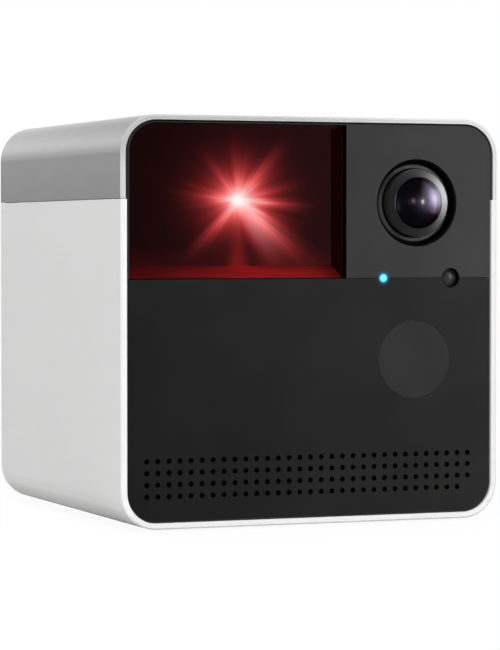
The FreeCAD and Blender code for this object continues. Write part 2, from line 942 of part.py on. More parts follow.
def pan_pinion():
    half_pitch = math.pi / pinion_teeth
    gear = gear_blank(pinion_teeth, -math.pi / 2 + half_pitch, gear_thickness)
    gear.translate(Vector(laser_x, pan_motor_y, pan_gear_bottom - pinion_clearance))
    shaft_low = bracket_bottom - pan_shaft_depth + shaft_running_clearance
    shaft = rod_z(laser_x, pan_motor_y, shaft_low, pan_gear_bottom, motor_shaft_diameter)
    return joined(gear, shaft)


def pan_motor():
    body = rod_z(
        laser_x,
        pan_motor_y,
        pan_motor_bottom,
        bracket_bottom,
        pan_motor_diameter,
    )
    bore = motor_shaft_diameter + 2 * shaft_running_clearance
    return without(
        body,
        rod_z(laser_x, pan_motor_y, bracket_bottom - pan_shaft_depth, bracket_bottom + 1, bore),
    )


def turret_yoke():
    """A turntable with two arms that hold the laser's cradle and a saddle for the tilt motor."""
    disc = rod_z(laser_x, turret_y, yoke_disc_bottom, yoke_disc_top, 2 * yoke_disc_radius)
    shaft = rod_z(
        laser_x,
        turret_y,
        bracket_bottom - pan_shaft_below,
        yoke_disc_bottom + yoke_disc_thickness / 2,
        pan_shaft_diameter,
    )
    arms = []
    for side in (-1, 1):
        inner = laser_x + side * yoke_arm_inner
        x0, x1 = sorted((inner, inner + side * yoke_arm_thickness))
        arms.append(
            box(
                x0,
                x1,
                turret_y - yoke_arm_half_depth,
                turret_y + yoke_arm_half_depth,
                yoke_disc_top - yoke_disc_thickness / 2,
                laser_height + yoke_arm_top,
            )
        )
    saddle = box(
        laser_x - tilt_motor_left + saddle_end_inset,
        laser_x + tilt_motor_right - saddle_end_inset,
        turret_y - saddle_half_depth,
        turret_y + saddle_half_depth,
        yoke_disc_top - yoke_disc_thickness / 2,
        tilt_motor_height - saddle_half_height,
    )
    reach = yoke_arm_inner + yoke_arm_thickness + 1
    pivot = trunnion_diameter + 2 * shaft_running_clearance
    motor_room = tilt_motor_diameter + 2 * saddle_clearance
    return without(
        joined(disc, shaft, *arms, saddle),
        rod_x(laser_x - reach, laser_x + reach, turret_y, laser_height, pivot),
        rod_x(laser_x - yoke_arm_inner, laser_x + yoke_arm_inner, turret_y, tilt_motor_height, motor_room),
    )


def tilt_motor():
    body = rod_x(
        laser_x - tilt_motor_left,
        laser_x + tilt_motor_right,
        turret_y,
        tilt_motor_height,
        tilt_motor_diameter,
    )
    bore = motor_shaft_diameter + 2 * shaft_running_clearance
    right = laser_x + tilt_motor_right
    return without(body, rod_x(right - tilt_shaft_depth, right + 1, turret_y, tilt_motor_height, bore))


sector_left = laser_x + cradle_half_width


def tilt_gear_blank(teeth, tooth_angle, x0, length):
    """A gear along X, with tooth_angle counted from up towards the back."""
    gear = gear_blank(teeth, tooth_angle, length)
    # Z to X, X to Z and Y stays
    gear.rotate(Vector(0, 0, 0), AXIS_Y, 90)
    gear.rotate(Vector(0, 0, 0), AXIS_X, 180)
    gear.translate(Vector(x0, 0, 0))
    return gear


def tilt_pinion():
    half_pitch = math.pi / pinion_teeth
    gear = tilt_gear_blank(pinion_teeth, half_pitch, sector_left, sector_width)
    gear.translate(Vector(0, turret_y, tilt_motor_height))
    shaft_left = laser_x + tilt_motor_right - tilt_shaft_depth + shaft_running_clearance
    shaft = rod_x(shaft_left, sector_left + sector_width, turret_y, tilt_motor_height, motor_shaft_diameter)
    return joined(gear, shaft)


def tilt_cradle():
    """The laser's holder with its two trunnions and the toothed sector that tilts it."""
    block = box(
        laser_x - cradle_half_width,
        laser_x + cradle_half_width,
        turret_y - cradle_half_length,
        turret_y + cradle_half_length,
        laser_height - cradle_half_height,
        laser_height + cradle_half_height,
    )
    wheel = tilt_gear_blank(gear_teeth, math.pi, sector_left, sector_width)
    wheel.translate(Vector(0, turret_y, laser_height))
    reach = 2 * gear_radius
    spread = math.radians(sector_half_angle)
    drop = laser_height - reach * math.cos(spread)
    wedge_points = [
        Vector(sector_left, turret_y, laser_height),
        Vector(sector_left, turret_y - reach * math.sin(spread), drop),
        Vector(sector_left, turret_y + reach * math.sin(spread), drop),
    ]
    wedge = Part.Face(Part.makePolygon(wedge_points + wedge_points[:1])).extrude(Vector(sector_width, 0, 0))
    sector_end = sector_left + sector_width
    hub = rod_x(sector_left, sector_end, turret_y, laser_height, sector_hub_diameter)
    end = yoke_arm_inner + yoke_arm_thickness - trunnion_end_inset
    trunnions = rod_x(laser_x - end, laser_x + end, turret_y, laser_height, trunnion_diameter)
    bore = rod_y(
        laser_x,
        laser_height,
        turret_y - cradle_half_length - 1,
        turret_y + cradle_half_length + 1,
        laser_diameter + 2 * cradle_press_clearance,
    )
    return without(joined(block, wheel.common(wedge), hub, trunnions), bore)


def laser_module():
    nose = turret_y - laser_nose_length
    body = rod_y(laser_x, laser_height, nose, turret_y + laser_tail_length, laser_diameter)
    pocket = rod_y(
        laser_x,
        laser_height,
        nose - 1,
        nose + laser_lens_recess + laser_lens_thickness,
        laser_lens_diameter,
    )
    return without(body, pocket)


def laser_shroud():
    """Part of a ball round the laser's nose, which fills the chamber's opening as the laser turns."""
    shell = Part.makeSphere(laser_shroud_radius, turret_middle).cut(
        Part.makeSphere(laser_shroud_radius - laser_shroud_thickness, turret_middle)
    )
    reach = 2 * laser_shroud_radius
    spread = reach * math.tan(math.radians(laser_shroud_half_angle))
    front = Part.makeCone(0, spread, reach, turret_middle, -AXIS_Y)
    bore = rod_y(
        laser_x,
        laser_height,
        turret_y - laser_nose_length - 1,
        turret_y,
        laser_diameter + 2 * cradle_press_clearance,
    )
    return without(shell.common(front), bore)


def laser_lens():
    front = turret_y - laser_nose_length + laser_lens_recess
    diameter = laser_lens_diameter - 2 * shaft_running_clearance
    return rod_y(laser_x, laser_height, front, front + laser_lens_thickness, diameter)


# Camera


def lens_hood():
    """A ring set back in the panel's hole round the lens, on a flange behind the panel."""
    front = panel_front_y + hood_front_recess
    flange_end = panel_back_y + hood_flange_thickness
    bore, rim, flange = hood_inner_diameter / 2, hood_front_diameter / 2, hood_flange_diameter / 2
    return turned(
        (
            (bore, flange_end),
            (bore, front + hood_bevel),
            (bore + hood_bevel, front),
            (rim - hood_bevel, front),
            (rim, front + hood_bevel),
            (rim, panel_back_y),
            (flange, panel_back_y),
            (flange, flange_end),
        ),
        lens_x,
        lens_height,
    )


def lens_ring():
    outer, inner = lens_ring_diameter / 2, glass_diameter / 2 + glass_clearance
    back = panel_front_y + lens_ring_depth
    return turned(
        (
            (inner, back),
            (outer, back),
            (outer, panel_front_y - lens_ring_proud + lens_ring_bevel),
            (outer - lens_ring_bevel, panel_front_y - lens_ring_proud),
            (inner, panel_front_y - glass_rim_proud),
        ),
        lens_x,
        lens_height,
    )


def dome_y(diameter, rise, base_y):
    """A cap of a sphere that stands out to the front of base_y."""
    half = diameter / 2
    radius = (half**2 + rise**2) / (2 * rise)
    ball = Part.makeSphere(radius, Vector(lens_x, base_y - rise + radius, lens_height))
    return ball.common(rod_y(lens_x, lens_height, base_y - rise - 1, base_y, diameter))


def front_glass():
    rim = panel_front_y - glass_rim_proud
    back = rim + glass_edge
    plate = rod_y(lens_x, lens_height, rim, back, glass_diameter)
    lens = joined(plate, dome_y(glass_diameter, glass_dome_rise, rim))
    return without(lens, dome_y(barrel_mouth_diameter, glass_hollow, back))


def lens_barrel():
    """The tube that holds the glasses, with a stepped mouth and a threaded rear."""
    ring_back = panel_front_y + lens_ring_depth
    glass_back = panel_front_y - glass_rim_proud + glass_edge
    neck_end = ring_back + barrel_front_length
    cone_end = glass_back + barrel_cone_depth
    body = joined(
        rod_y(lens_x, lens_height, ring_back, neck_end, barrel_front_diameter),
        rod_y(lens_x, lens_height, glass_back, ring_back, glass_diameter),
        rod_y(lens_x, lens_height, neck_end, barrel_end_y, barrel_thread_diameter),
    )
    seat_end = cone_end + inner_lens_thickness
    return without(
        body,
        cone_y(lens_x, lens_height, glass_back, cone_end, barrel_mouth_diameter, barrel_throat_diameter),
        rod_y(lens_x, lens_height, cone_end, seat_end, inner_lens_diameter),
        rod_y(lens_x, lens_height, seat_end, barrel_end_y + 1, barrel_throat_diameter),
    )


def inner_lens():
    """The second glass, behind the barrel's throat."""
    front = panel_front_y - glass_rim_proud + glass_edge + barrel_cone_depth
    plate = rod_y(
        lens_x,
        lens_height,
        front,
        front + inner_lens_thickness,
        inner_lens_diameter - 2 * glass_clearance,
    )
    throat = barrel_throat_diameter - 2 * glass_clearance
    return joined(plate, dome_y(throat, inner_lens_rise, front))


def lens_holder():
    """A block on the camera board that the barrel screws into, with a slot for the filter."""
    half = holder_width / 2
    body = box(
        lens_x - half,
        lens_x + half,
        holder_front_y,
        camera_board_y,
        lens_height - half,
        lens_height + half,
    )
    slot_half = filter_height / 2 + filter_gap
    cavity = holder_cavity_width / 2
    bore = barrel_thread_diameter + 2 * shaft_running_clearance
    return without(
        body,
        rod_y(lens_x, lens_height, holder_front_y - 1, barrel_end_y, bore),
        box(
            lens_x - holder_width,
            lens_x + holder_width,
            barrel_end_y,
            filter_y + filter_thickness + filter_gap,
            lens_height - slot_half,
            lens_height + slot_half,
        ),
        box(
            lens_x - cavity,
            lens_x + cavity,
            filter_y + filter_thickness,
            camera_board_y + 1,
            lens_height - cavity,
            lens_height + cavity,
        ),
    )


def filter_window_box(shift, gap):
    half = filter_window / 2 - gap
    return box(
        lens_x + shift - half,
        lens_x + shift + half,
        filter_y,
        filter_y + filter_thickness,
        lens_height - half,
        lens_height + half,
    )


def filter_blade():
    """A sliding frame with two windows, one in front of the sensor and one waiting beside it."""
    half = filter_window / 2 + filter_margin
    frame = box(
        lens_x - half,
        lens_x + filter_travel + half,
        filter_y,
        filter_y + filter_thickness,
        lens_height - filter_height / 2,
        lens_height + filter_height / 2,
    )
    return without(frame, filter_window_box(0.0, 0.0), filter_window_box(filter_travel, 0.0))


def filter_glasses():
    """The glass that blocks infrared light and the clear one for the night."""
    shifts = (0.0, filter_travel)
    return Part.makeCompound([filter_window_box(shift, glass_clearance) for shift in shifts])


def filter_coil():
    """The small coil on top of the holder that throws the filter across."""
    top = lens_height + holder_width / 2
    return box(
        lens_x - coil_width / 2,
        lens_x + coil_width / 2,
        filter_y - coil_length / 2,
        filter_y + coil_length / 2,
        top,
        top + coil_height,
    )


def image_sensor():
    return box(
        lens_x - sensor_width / 2,
        lens_x + sensor_width / 2,
        camera_board_y - sensor_thickness,
        camera_board_y,
        lens_height - sensor_height / 2,
        lens_height + sensor_height / 2,
    )


def camera_board():
    board = box(
        lens_x - camera_board_width / 2,
        lens_x + camera_board_width / 2,
        camera_board_y,
        camera_board_y + board_thickness,
        lens_height - camera_board_height / 2,
        lens_height + camera_board_height / 2,
    )
    holes = [
        screw_hole(x, z, camera_board_y - 1, camera_board_y + BEYOND)
        for x, z in camera_post_places()
    ]
    return without(board, *holes)


# Small front board with the lights and the sensor


def front_board():
    board = box(
        front_board_left,
        front_board_right,
        front_board_y,
        front_board_y + board_thickness,
        front_board_low,
        front_board_high,
    )
    holes = [
        screw_hole(x, z, front_board_y - 1, front_board_y + BEYOND)
        for x, z in front_post_places()
    ]
    return without(board, *holes)


def status_light_pipe():
    end = front_board_y - led_chip_height
    return rod_y(status_x, panel_seam_height, panel_front_y, end, status_diameter)


def light_sensor():
    """A small can on the front board that looks out through the seam."""
    lens_front = panel_front_y + sensor_lens_recess
    half = sensor_lens_diameter / 2
    can = rod_y(sensor_hole_x, panel_seam_height, lens_front + half, front_board_y, sensor_can_diameter)
    return can


def light_sensor_lens():
    half = sensor_lens_diameter / 2
    base = panel_front_y + sensor_lens_recess + half
    ball = Part.makeSphere(half, Vector(sensor_hole_x, base, panel_seam_height))
    room = rod_y(sensor_hole_x, panel_seam_height, base - half - 1, base, 2 * sensor_lens_diameter)
    return ball.common(room)


def front_leds():
    """The status light's chip and a ring of infrared lights for the night."""
    half = led_chip_size / 2
    status_chip = box(
        status_x - half,
        status_x + half,
        front_board_y - led_chip_height,
        front_board_y,
        panel_seam_height - half,
        panel_seam_height + half,
    )
    leds = [status_chip]
    radius = night_led_diameter / 2
    for n in range(night_led_count):
        angle = 2 * math.pi * n / night_led_count
        x = night_x + night_led_circle / 2 * math.cos(angle)
        z = night_height + night_led_circle / 2 * math.sin(angle)
        shoulder = front_board_y - night_led_height + radius
        stem = rod_y(x, z, shoulder, front_board_y, night_led_diameter)
        tip_room = rod_y(x, z, shoulder - 2 * radius, shoulder, 2 * night_led_diameter)
        tip = Part.makeSphere(radius, Vector(x, shoulder, z)).common(tip_room)
        leds.append(joined(stem, tip))
    return Part.makeCompound(leds)


# Speaker


def duct_box():
    """Left, right, low and high sides of the opening behind the speaker holes."""
    last_x = grille_first_x + (grille_columns - 1) * grille_pitch_x
    last_z = grille_low_height + (grille_rows - 1) * grille_pitch_z
    return (
        grille_first_x - duct_margin,
        last_x + duct_margin,
        grille_low_height - duct_margin,
        last_z + duct_margin,
    )


def grille_cloth():
    left, right, low, high = duct_box()
    return box(
        left + frame_gap,
        right - frame_gap,
        panel_back_y,
        panel_back_y + grille_cloth_thickness,
        low + frame_gap,
        high - frame_gap,
    )


def speaker_box():
    """The sealed box behind the panel, with a shallow duct that leads to the holes."""
    left, right, low, high = duct_box()
    end = frame_back_y + speaker_box_depth
    main = box(
        speaker_box_left,
        speaker_box_right,
        frame_back_y,
        end,
        speaker_box_bottom,
        speaker_box_top,
    )
    duct = box(
        left - speaker_wall,
        right + speaker_wall,
        frame_back_y,
        basket_y,
        speaker_box_bottom,
        high + speaker_wall,
    )
    inner_left, inner_right = speaker_box_left + speaker_wall, speaker_box_right - speaker_wall
    inner_low, inner_high = speaker_box_bottom + speaker_wall, speaker_box_top - speaker_wall
    front_room = box(inner_left, inner_right, frame_back_y - 1, baffle_y, inner_low, inner_high)
    duct_room = box(left, right, frame_back_y - 1, baffle_y, low, high)
    rear_room = box(inner_left, inner_right, basket_y, end + 1, inner_low, inner_high)
    throat = rod_y(speaker_x, speaker_height, baffle_y - 1, basket_y + 1, baffle_hole_diameter)
    return without(joined(main, duct), front_room, duct_room, rear_room, throat)


def speaker_lid():
    y0 = frame_back_y + speaker_box_depth
    return box(
        speaker_box_left,
        speaker_box_right,
        y0,
        y0 + speaker_wall,
        speaker_box_bottom,
        speaker_box_top,
    )


def speaker_basket():
    """A dished metal frame with a flange on the box's baffle."""
    outer, mouth = speaker_diameter / 2, baffle_hole_diameter / 2
    throat = speaker_throat_diameter / 2
    back = basket_y + speaker_basket_depth
    wall = speaker_basket_wall
    return turned(
        (
            (mouth, basket_y),
            (outer, basket_y),
            (outer, basket_y + wall),
            (mouth + wall, basket_y + wall),
            (throat + wall, back),
            (coil_diameter / 2 + 2, back),
            (coil_diameter / 2 + 2, back - wall),
            (throat, back - wall),
            (mouth, basket_y + wall),
        ),
        speaker_x,
        speaker_height,
    )


def speaker_surround():
    """The soft rolled ring between the cone and the basket."""
    outer = baffle_hole_diameter / 2 - surround_gap
    inner = surround_inner_diameter / 2
    middle = (outer + inner) / 2
    top = basket_y - surround_rise
    return turned(
        (
            (inner, basket_y),
            (middle, top),
            (outer, basket_y),
            (outer, basket_y + surround_thickness),
            (middle, top + surround_thickness),
            (inner, basket_y + surround_thickness),
        ),
        speaker_x,
        speaker_height,
    )


def speaker_cone():
    """The cone and its dust cap, with the coil's tube behind them."""
    rim, neck = surround_inner_diameter / 2, coil_diameter / 2
    deep = basket_y + cone_depth
    tube_end = basket_y + speaker_basket_depth + coil_depth - speaker_basket_wall
    return turned(
        (
            (0.0, deep - dust_cap_rise),
            (neck, deep - cone_thickness),
            (rim, basket_y),
            (rim, basket_y + cone_thickness),
            (neck, deep + cone_thickness),
            (neck, tube_end),
            (neck - coil_thickness, tube_end),
            (neck - coil_thickness, deep),
            (0.0, deep - dust_cap_rise + cone_thickness),
        ),
        speaker_x,
        speaker_height,
    )


def speaker_magnet():
    """The magnet pot, with a round gap that the coil moves in."""
    front = basket_y + speaker_basket_depth
    outer = coil_diameter / 2 + magnet_gap
    inner = coil_diameter / 2 - coil_thickness - magnet_gap
    pot = rod_y(speaker_x, speaker_height, front, front + magnet_length, magnet_diameter)
    gap = ring_y(speaker_x, speaker_height, front - 1, front + magnet_gap_depth + 1, 2 * outer, 2 * inner)
    return without(pot, gap)


# Main board and its parts


def main_board():
    board = box(
        -board_half_width,
        board_half_width,
        board_front_y,
        board_back_y,
        board_low,
        board_high,
    )
    holes = [
        screw_hole(x, z, board_front_y - 1, board_back_y + 1)
        for x, z in board_post_places()
    ]
    return without(board, *holes)


def board_post_places():
    return [(side * board_post_x, z) for side in (-1, 1) for z in board_post_heights]


def small_screws():
    """Screws that hold the boards, the laser chamber and the turret's bracket."""
    board_length = board_thickness + front_board_standoff
    chamber_y = frame_back_y + chamber_flange_thickness
    bracket_y = chamber_end_y + bracket_ear_thickness
    groups = (
        (board_post_places(), board_front_y, 1, board_length),
        (camera_post_places(), camera_board_y + board_thickness, -1, board_length),
        (front_post_places(), front_board_y + board_thickness, -1, board_length),
        (chamber_screw_places(), chamber_y, -1, chamber_flange_thickness + frame_thickness),
        (bracket_screw_places(), bracket_y, -1, bracket_ear_thickness + bracket_screw_bite),
    )
    screws = []
    for places, head_y, direction, length in groups:
        for x, z in places:
            screws.append(
                screw_y(
                    x,
                    z,
                    head_y,
                    direction,
                    screw_thread_diameter,
                    length,
                    screw_head_diameter,
                    screw_head_height,
                )
            )
    return Part.makeCompound(screws)


def chip(x, z, width, height, thickness):
    """A flat part on the front of the main board."""
    return box(
        x - width / 2,
        x + width / 2,
        board_front_y - thickness,
        board_front_y,
        z - height / 2,
        z + height / 2,
    )


def heat_sink():
    back = board_front_y - processor_thickness
    half = heat_sink_size / 2
    base_y = back - heat_sink_base
    z0, z1 = processor_height - half, processor_height + half
    pieces = [box(processor_x - half, processor_x + half, base_y, back, z0, z1)]
    pitch = (heat_sink_size - heat_sink_fin_thickness) / (heat_sink_fins - 1)
    for n in range(heat_sink_fins):
        x = processor_x - half + n * pitch
        pieces.append(box(x, x + heat_sink_fin_thickness, base_y - heat_sink_fin_height, base_y, z0, z1))
    return joined(*pieces)


def wifi_module():
    """Between the two cable connectors."""
    heights = [z for x, z, back_y in cable_heights()]
    middle = sum(heights) / len(heights)
    x = board_half_width - wifi_side_distance
    return chip(x, middle - wifi_below_middle, wifi_width, wifi_length, wifi_thickness)


def board_chips():
    """The processor and its memory."""
    width, thickness, height = memory_size
    chips = [chip(processor_x, processor_height, processor_size, processor_size, processor_thickness)]
    x = memory_from_side - board_half_width
    for n in range(memory_count):
        z = board_high - memory_from_top - n * memory_pitch
        chips.append(chip(x, z, width, height, thickness))
    return Part.makeCompound(chips)


def capacitors():
    right_height = cable_heights()[1][1] - capacitor_below_connector
    places = [(x, right_height) for x in capacitor_right_x]
    places.append((capacitor_left_x, board_low + capacitor_left_height))
    cans = [
        rod_y(x, z, board_front_y - capacitor_length, board_front_y, capacitor_diameter)
        for x, z in places
    ]
    return Part.makeCompound(cans)


def cable_heights():
    """Where the two flat cables run: one to the camera board and one to the front board."""
    return (
        (lens_x, lens_height - camera_cable_drop, camera_board_y + board_thickness),
        (night_x, night_height - night_cable_drop + connector_size[2], front_board_y + board_thickness),
    )


def board_connectors():
    """A connector at both ends of each flat cable."""
    width, depth, height = connector_size
    pieces = []
    for x, z, back_y in cable_heights():
        pieces.append(chip(x, z, width, height, depth))
        pieces.append(
            box(x - width / 2, x + width / 2, back_y, back_y + depth, z - height / 2, z + height / 2)
        )
    return Part.makeCompound(pieces)


def flat_cables():
    """Ribbons with one step down on the way, as they lie between their connectors."""
    ribbons = []
    for x, z, back_y in cable_heights():
        start = back_y + connector_size[1]
        end = board_front_y - connector_size[1]
        third = (end - start) / 3
        route = [
            (start, z),
            (start + third, z),
            (start + third + cable_step, z - cable_step),
            (end - third, z - cable_step),
            (end - third + cable_step, z),
            (end, z),
        ]
        upper = [Vector(x - cable_width / 2, y, height + cable_thickness / 2) for y, height in route]
        lower = [Vector(x - cable_width / 2, y, height - cable_thickness / 2) for y, height in route]
        points = upper + lower[::-1]
        face = Part.Face(Part.makePolygon(points + points[:1]))
        ribbons.append(face.extrude(Vector(cable_width, 0, 0)))
    return Part.makeCompound(ribbons)


def wifi_antenna():
    """A thin strip stuck to the inside of the plastic sleeve's left wall."""
    x0 = -case_width / 2 + lower_wall
    return box(
        x0,
        x0 + antenna_thickness,
        antenna_front_y,
        antenna_front_y + antenna_length,
        antenna_height,
        antenna_height + antenna_width,
    )


# Rear cover, inlet and button


def cover_screw_places():
    return [(side * cover_screw_x, z) for side in (-1, 1) for z in cover_screw_heights]


def inlet_prism(grow, y0, y1):
    half_width, half_tall = inlet_width / 2 + grow, inlet_tall / 2 + grow
    return rounded_prism(
        inlet_x - half_width,
        inlet_x + half_width,
        inlet_height - half_tall,
        inlet_height + half_tall,
        [inlet_corner_radius + grow] * 4,
        y0,
        y1,
    )


def socket_prism(grow, y0, y1):
    half_width, half_tall = socket_width / 2 + grow, socket_tall / 2 + grow
    return rounded_prism(
        inlet_x - half_width,
        inlet_x + half_width,
        inlet_height - half_tall,
        inlet_height + half_tall,
        [half_tall - arc_spare] * 4,
        y0,
        y1,
    )


def vent_slots():
    slots = []
    first = -(vent_count - 1) * vent_pitch / 2
    for z in vent_heights:
        for n in range(vent_count):
            x = first + n * vent_pitch
            slots.append(
                rounded_prism(
                    x - vent_width / 2,
                    x + vent_width / 2,
                    z - vent_length / 2,
                    z + vent_length / 2,
                    [vent_width / 2 - arc_spare] * 4,
                    cover_front_y - 1,
                    cover_back_y + 1,
                )
            )
    return slots


def rear_cover():
    plate = inside_case(panel_gap, cover_front_y, cover_back_y, cover_back_y, cover_bevel)
    tub = inlet_prism(inlet_wall, inlet_floor_y - inlet_wall, cover_front_y + 1)
    guide_hole = button_diameter + 2 * button_clearance
    guide = rod_y(button_x, button_height, guide_end_y, cover_front_y + 1, guide_hole + 2 * button_guide_wall)
    posts = [board_post_rear(x, z) for x, z in board_post_places()]
    cuts = [
        inlet_prism(0.0, inlet_floor_y, cover_back_y + 1),
        socket_prism(socket_clearance, inlet_floor_y - inlet_wall - 1, inlet_floor_y + 1),
        rod_y(button_x, button_height, guide_end_y - 1, cover_back_y + 1, guide_hole),
        *vent_slots(),
    ]
    thread_room = cover_screw_diameter + 2 * cover_screw_clearance
    head_room = cover_screw_head_diameter + 2 * cover_screw_clearance
    for x, z in cover_screw_places():
        cuts.append(rod_y(x, z, cover_front_y - 1, cover_back_y + 1, thread_room))
        cuts.append(rod_y(x, z, cover_back_y - cover_screw_head_height, cover_back_y + 1, head_room))
    return without(joined(plate, tub, guide, *posts), *cuts)


def board_post_rear(x, z):
    """A post from the cover to the back of the main board, with a pilot hole in its front end."""
    post = rod_y(x, z, board_back_y, cover_front_y + 1, board_post_diameter)
    return without(post, rod_y(x, z, board_back_y - 1, board_back_y + screw_length, screw_pilot_diameter))


def case_screw(x, z, head_y, direction):
    """A cross headed screw that runs into one of the sleeves' blocks."""
    screw = screw_y(
        x,
        z,
        head_y,
        direction,
        sleeve_screw_pilot_diameter - 2 * shaft_running_clearance,
        case_screw_length,
        cover_screw_head_diameter,
        cover_screw_head_height,
    )
    top, deep = sorted(
        (
            head_y - direction * (cover_screw_head_height + 1),
            head_y - direction * (cover_screw_head_height - cross_depth),
        )
    )
    arm, half = cross_length / 2, cross_width / 2
    cross = joined(
        box(x - arm, x + arm, top, deep, z - half, z + half),
        box(x - half, x + half, top, deep, z - arm, z + arm),
    )
    return without(screw, cross)


def case_screws():
    """The screws that hold the rear cover and the front plate to the sleeves."""
    front_y_of_seat = panel_back_y + cover_screw_head_height
    rear_y_of_seat = cover_back_y - cover_screw_head_height
    screws = [case_screw(x, z, front_y_of_seat, 1) for x, z in front_screw_places]
    screws += [case_screw(x, z, rear_y_of_seat, -1) for x, z in cover_screw_places()]
    return Part.makeCompound(screws)


def power_socket():
    """The metal shell of the power inlet, standing on the main board."""
    shell = socket_prism(0.0, board_back_y, inlet_floor_y)
    room = socket_prism(-socket_wall, inlet_floor_y - socket_cavity_depth, inlet_floor_y + 1)
    return without(shell, room)


def power_socket_tongue():
    half_width, half_tall = socket_tongue_width / 2, socket_tongue_tall / 2
    return box(
        inlet_x - half_width,
        inlet_x + half_width,
        inlet_floor_y - socket_cavity_depth,
        inlet_floor_y - socket_tongue_recess,
        inlet_height - half_tall,
        inlet_height + half_tall,
    )


def reset_switch():
    half = switch_size / 2
    body = box(
        button_x - half,
        button_x + half,
        board_back_y,
        switch_top_y,
        button_height - half,
        button_height + half,
    )
    plunger_end = switch_top_y + switch_plunger_height
    return joined(body, rod_y(button_x, button_height, switch_top_y, plunger_end, switch_plunger_diameter))


def reset_button():
    """The button's cap, its flange behind the guide and its stem down to the switch."""
    flange_back = guide_end_y - button_rest_gap
    flange_front = flange_back - button_flange_thickness
    cap_end = cover_back_y - button_recess
    stem_end = switch_top_y + switch_plunger_height + button_travel + button_rest_gap
    return joined(
        rod_y(button_x, button_height, flange_front, cap_end, button_diameter),
        rod_y(button_x, button_height, flange_front, flange_back, button_flange_diameter),
        rod_y(button_x, button_height, stem_end, flange_front, button_stem_diameter),
    )


def button_sleeve():
    """The rubber sleeve that pushes the button back out."""
    flange_front = guide_end_y - button_rest_gap - button_flange_thickness
    wide, narrow = sleeve_base_diameter / 2, sleeve_top_diameter / 2
    return turned(
        (
            (wide - sleeve_wall, switch_top_y),
            (wide, switch_top_y),
            (narrow, flange_front),
            (narrow - sleeve_wall, flange_front),
        ),
        button_x,
        button_height,
    )


PIECES = (
    upper_sleeve,
    lower_sleeve,
    foot_pad,
    tripod_insert,
    front_panel_upper,
    front_panel_lower,
    front_frame,
    laser_window,
    laser_chamber,
    gimbal_bracket,
    pan_motor,
    pan_pinion,
    pan_gear,
    turret_yoke,
    tilt_motor,
    tilt_pinion,
    tilt_cradle,
    laser_module,
    laser_shroud,
    laser_lens,
    lens_hood,
    lens_ring,
    front_glass,
    lens_barrel,
    inner_lens,
    lens_holder,
    filter_blade,
    filter_glasses,
    filter_coil,
    image_sensor,
    camera_board,
    front_board,
    status_light_pipe,
    light_sensor,
    light_sensor_lens,
    front_leds,
    night_window,
    grille_cloth,
    speaker_box,
    speaker_lid,
    speaker_basket,
    speaker_surround,
    speaker_cone,
    speaker_magnet,
    main_board,
    small_screws,
    board_chips,
    heat_sink,
    wifi_module,
    capacitors,
    board_connectors,
    flat_cables,
    wifi_antenna,
    rear_cover,
    case_screws,
    power_socket,
    power_socket_tongue,
    reset_switch,
    reset_button,
    button_sleeve,
)

os.makedirs("parts", exist_ok=True)
for make in PIECES:
    piece = make()
    piece.translate(Vector(0, 0, foot_stand))
    if not piece.isValid():
        print(make.__name__, "is not a valid solid")
    piece.exportStep("parts/" + make.__name__ + ".step")
    print(make.__name__, len(piece.Solids), "solids,", round(piece.Volume), "cubic mm")
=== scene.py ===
import json
import math

import bmesh
import bpy
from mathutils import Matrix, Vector


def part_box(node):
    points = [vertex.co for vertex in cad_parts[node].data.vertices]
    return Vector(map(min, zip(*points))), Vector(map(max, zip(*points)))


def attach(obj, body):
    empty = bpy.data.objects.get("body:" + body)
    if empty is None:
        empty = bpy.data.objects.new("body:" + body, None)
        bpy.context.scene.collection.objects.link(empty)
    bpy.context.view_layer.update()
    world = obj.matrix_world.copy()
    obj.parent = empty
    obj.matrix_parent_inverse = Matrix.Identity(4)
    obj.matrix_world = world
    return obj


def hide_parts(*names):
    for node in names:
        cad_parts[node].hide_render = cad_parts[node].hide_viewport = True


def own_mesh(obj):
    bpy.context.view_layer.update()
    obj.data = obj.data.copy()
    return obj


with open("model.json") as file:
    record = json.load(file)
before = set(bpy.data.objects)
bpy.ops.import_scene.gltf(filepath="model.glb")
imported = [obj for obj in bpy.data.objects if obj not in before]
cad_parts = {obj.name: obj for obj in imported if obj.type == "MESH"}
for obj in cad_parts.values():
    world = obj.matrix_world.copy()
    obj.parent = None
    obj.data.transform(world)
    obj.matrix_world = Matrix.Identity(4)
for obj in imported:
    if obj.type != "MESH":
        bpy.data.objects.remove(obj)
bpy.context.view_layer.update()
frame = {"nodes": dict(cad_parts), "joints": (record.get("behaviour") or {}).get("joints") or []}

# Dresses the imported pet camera: finishes for every part, the laser's glow, the small lit details,
# a plain white studio and a camera at the photograph's angle. Lengths are in metres.
MM = 0.001
BLACK = (0.0, 0.0, 0.0)
WHITE = (1.0, 1.0, 1.0)

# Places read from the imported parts
joints = {joint["name"]: joint for joint in frame["joints"]}
laser_pivot = Vector(joints["laser_pan"]["pos_m"])
nose_low, nose_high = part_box("laser_module")
_, chamber_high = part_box("laser_chamber")
window_low, window_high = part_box("laser_window")
glass_low, glass_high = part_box("front_glass")
panel_low, panel_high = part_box("front_panel_lower")
pipe_low, pipe_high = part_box("status_light_pipe")
hood_low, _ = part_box("lens_hood")
sensor_low, sensor_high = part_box("light_sensor_lens")
rubber_low, rubber_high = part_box("button_sleeve")

laser_tip = Vector((laser_pivot.x, nose_low.y, laser_pivot.z))
lens_centre = (glass_low + glass_high) / 2
pipe_centre = (pipe_low + pipe_high) / 2
sensor_centre = (sensor_low + sensor_high) / 2
rubber_centre = (rubber_low + rubber_high) / 2

# The camera's place, fitted to the case's edges in the photograph
camera_place = Vector((-0.22313, -0.57074, 0.05756))
camera_pitch = math.radians(-1.724)
camera_yaw = math.radians(-21.56)
camera_lens = 160.27

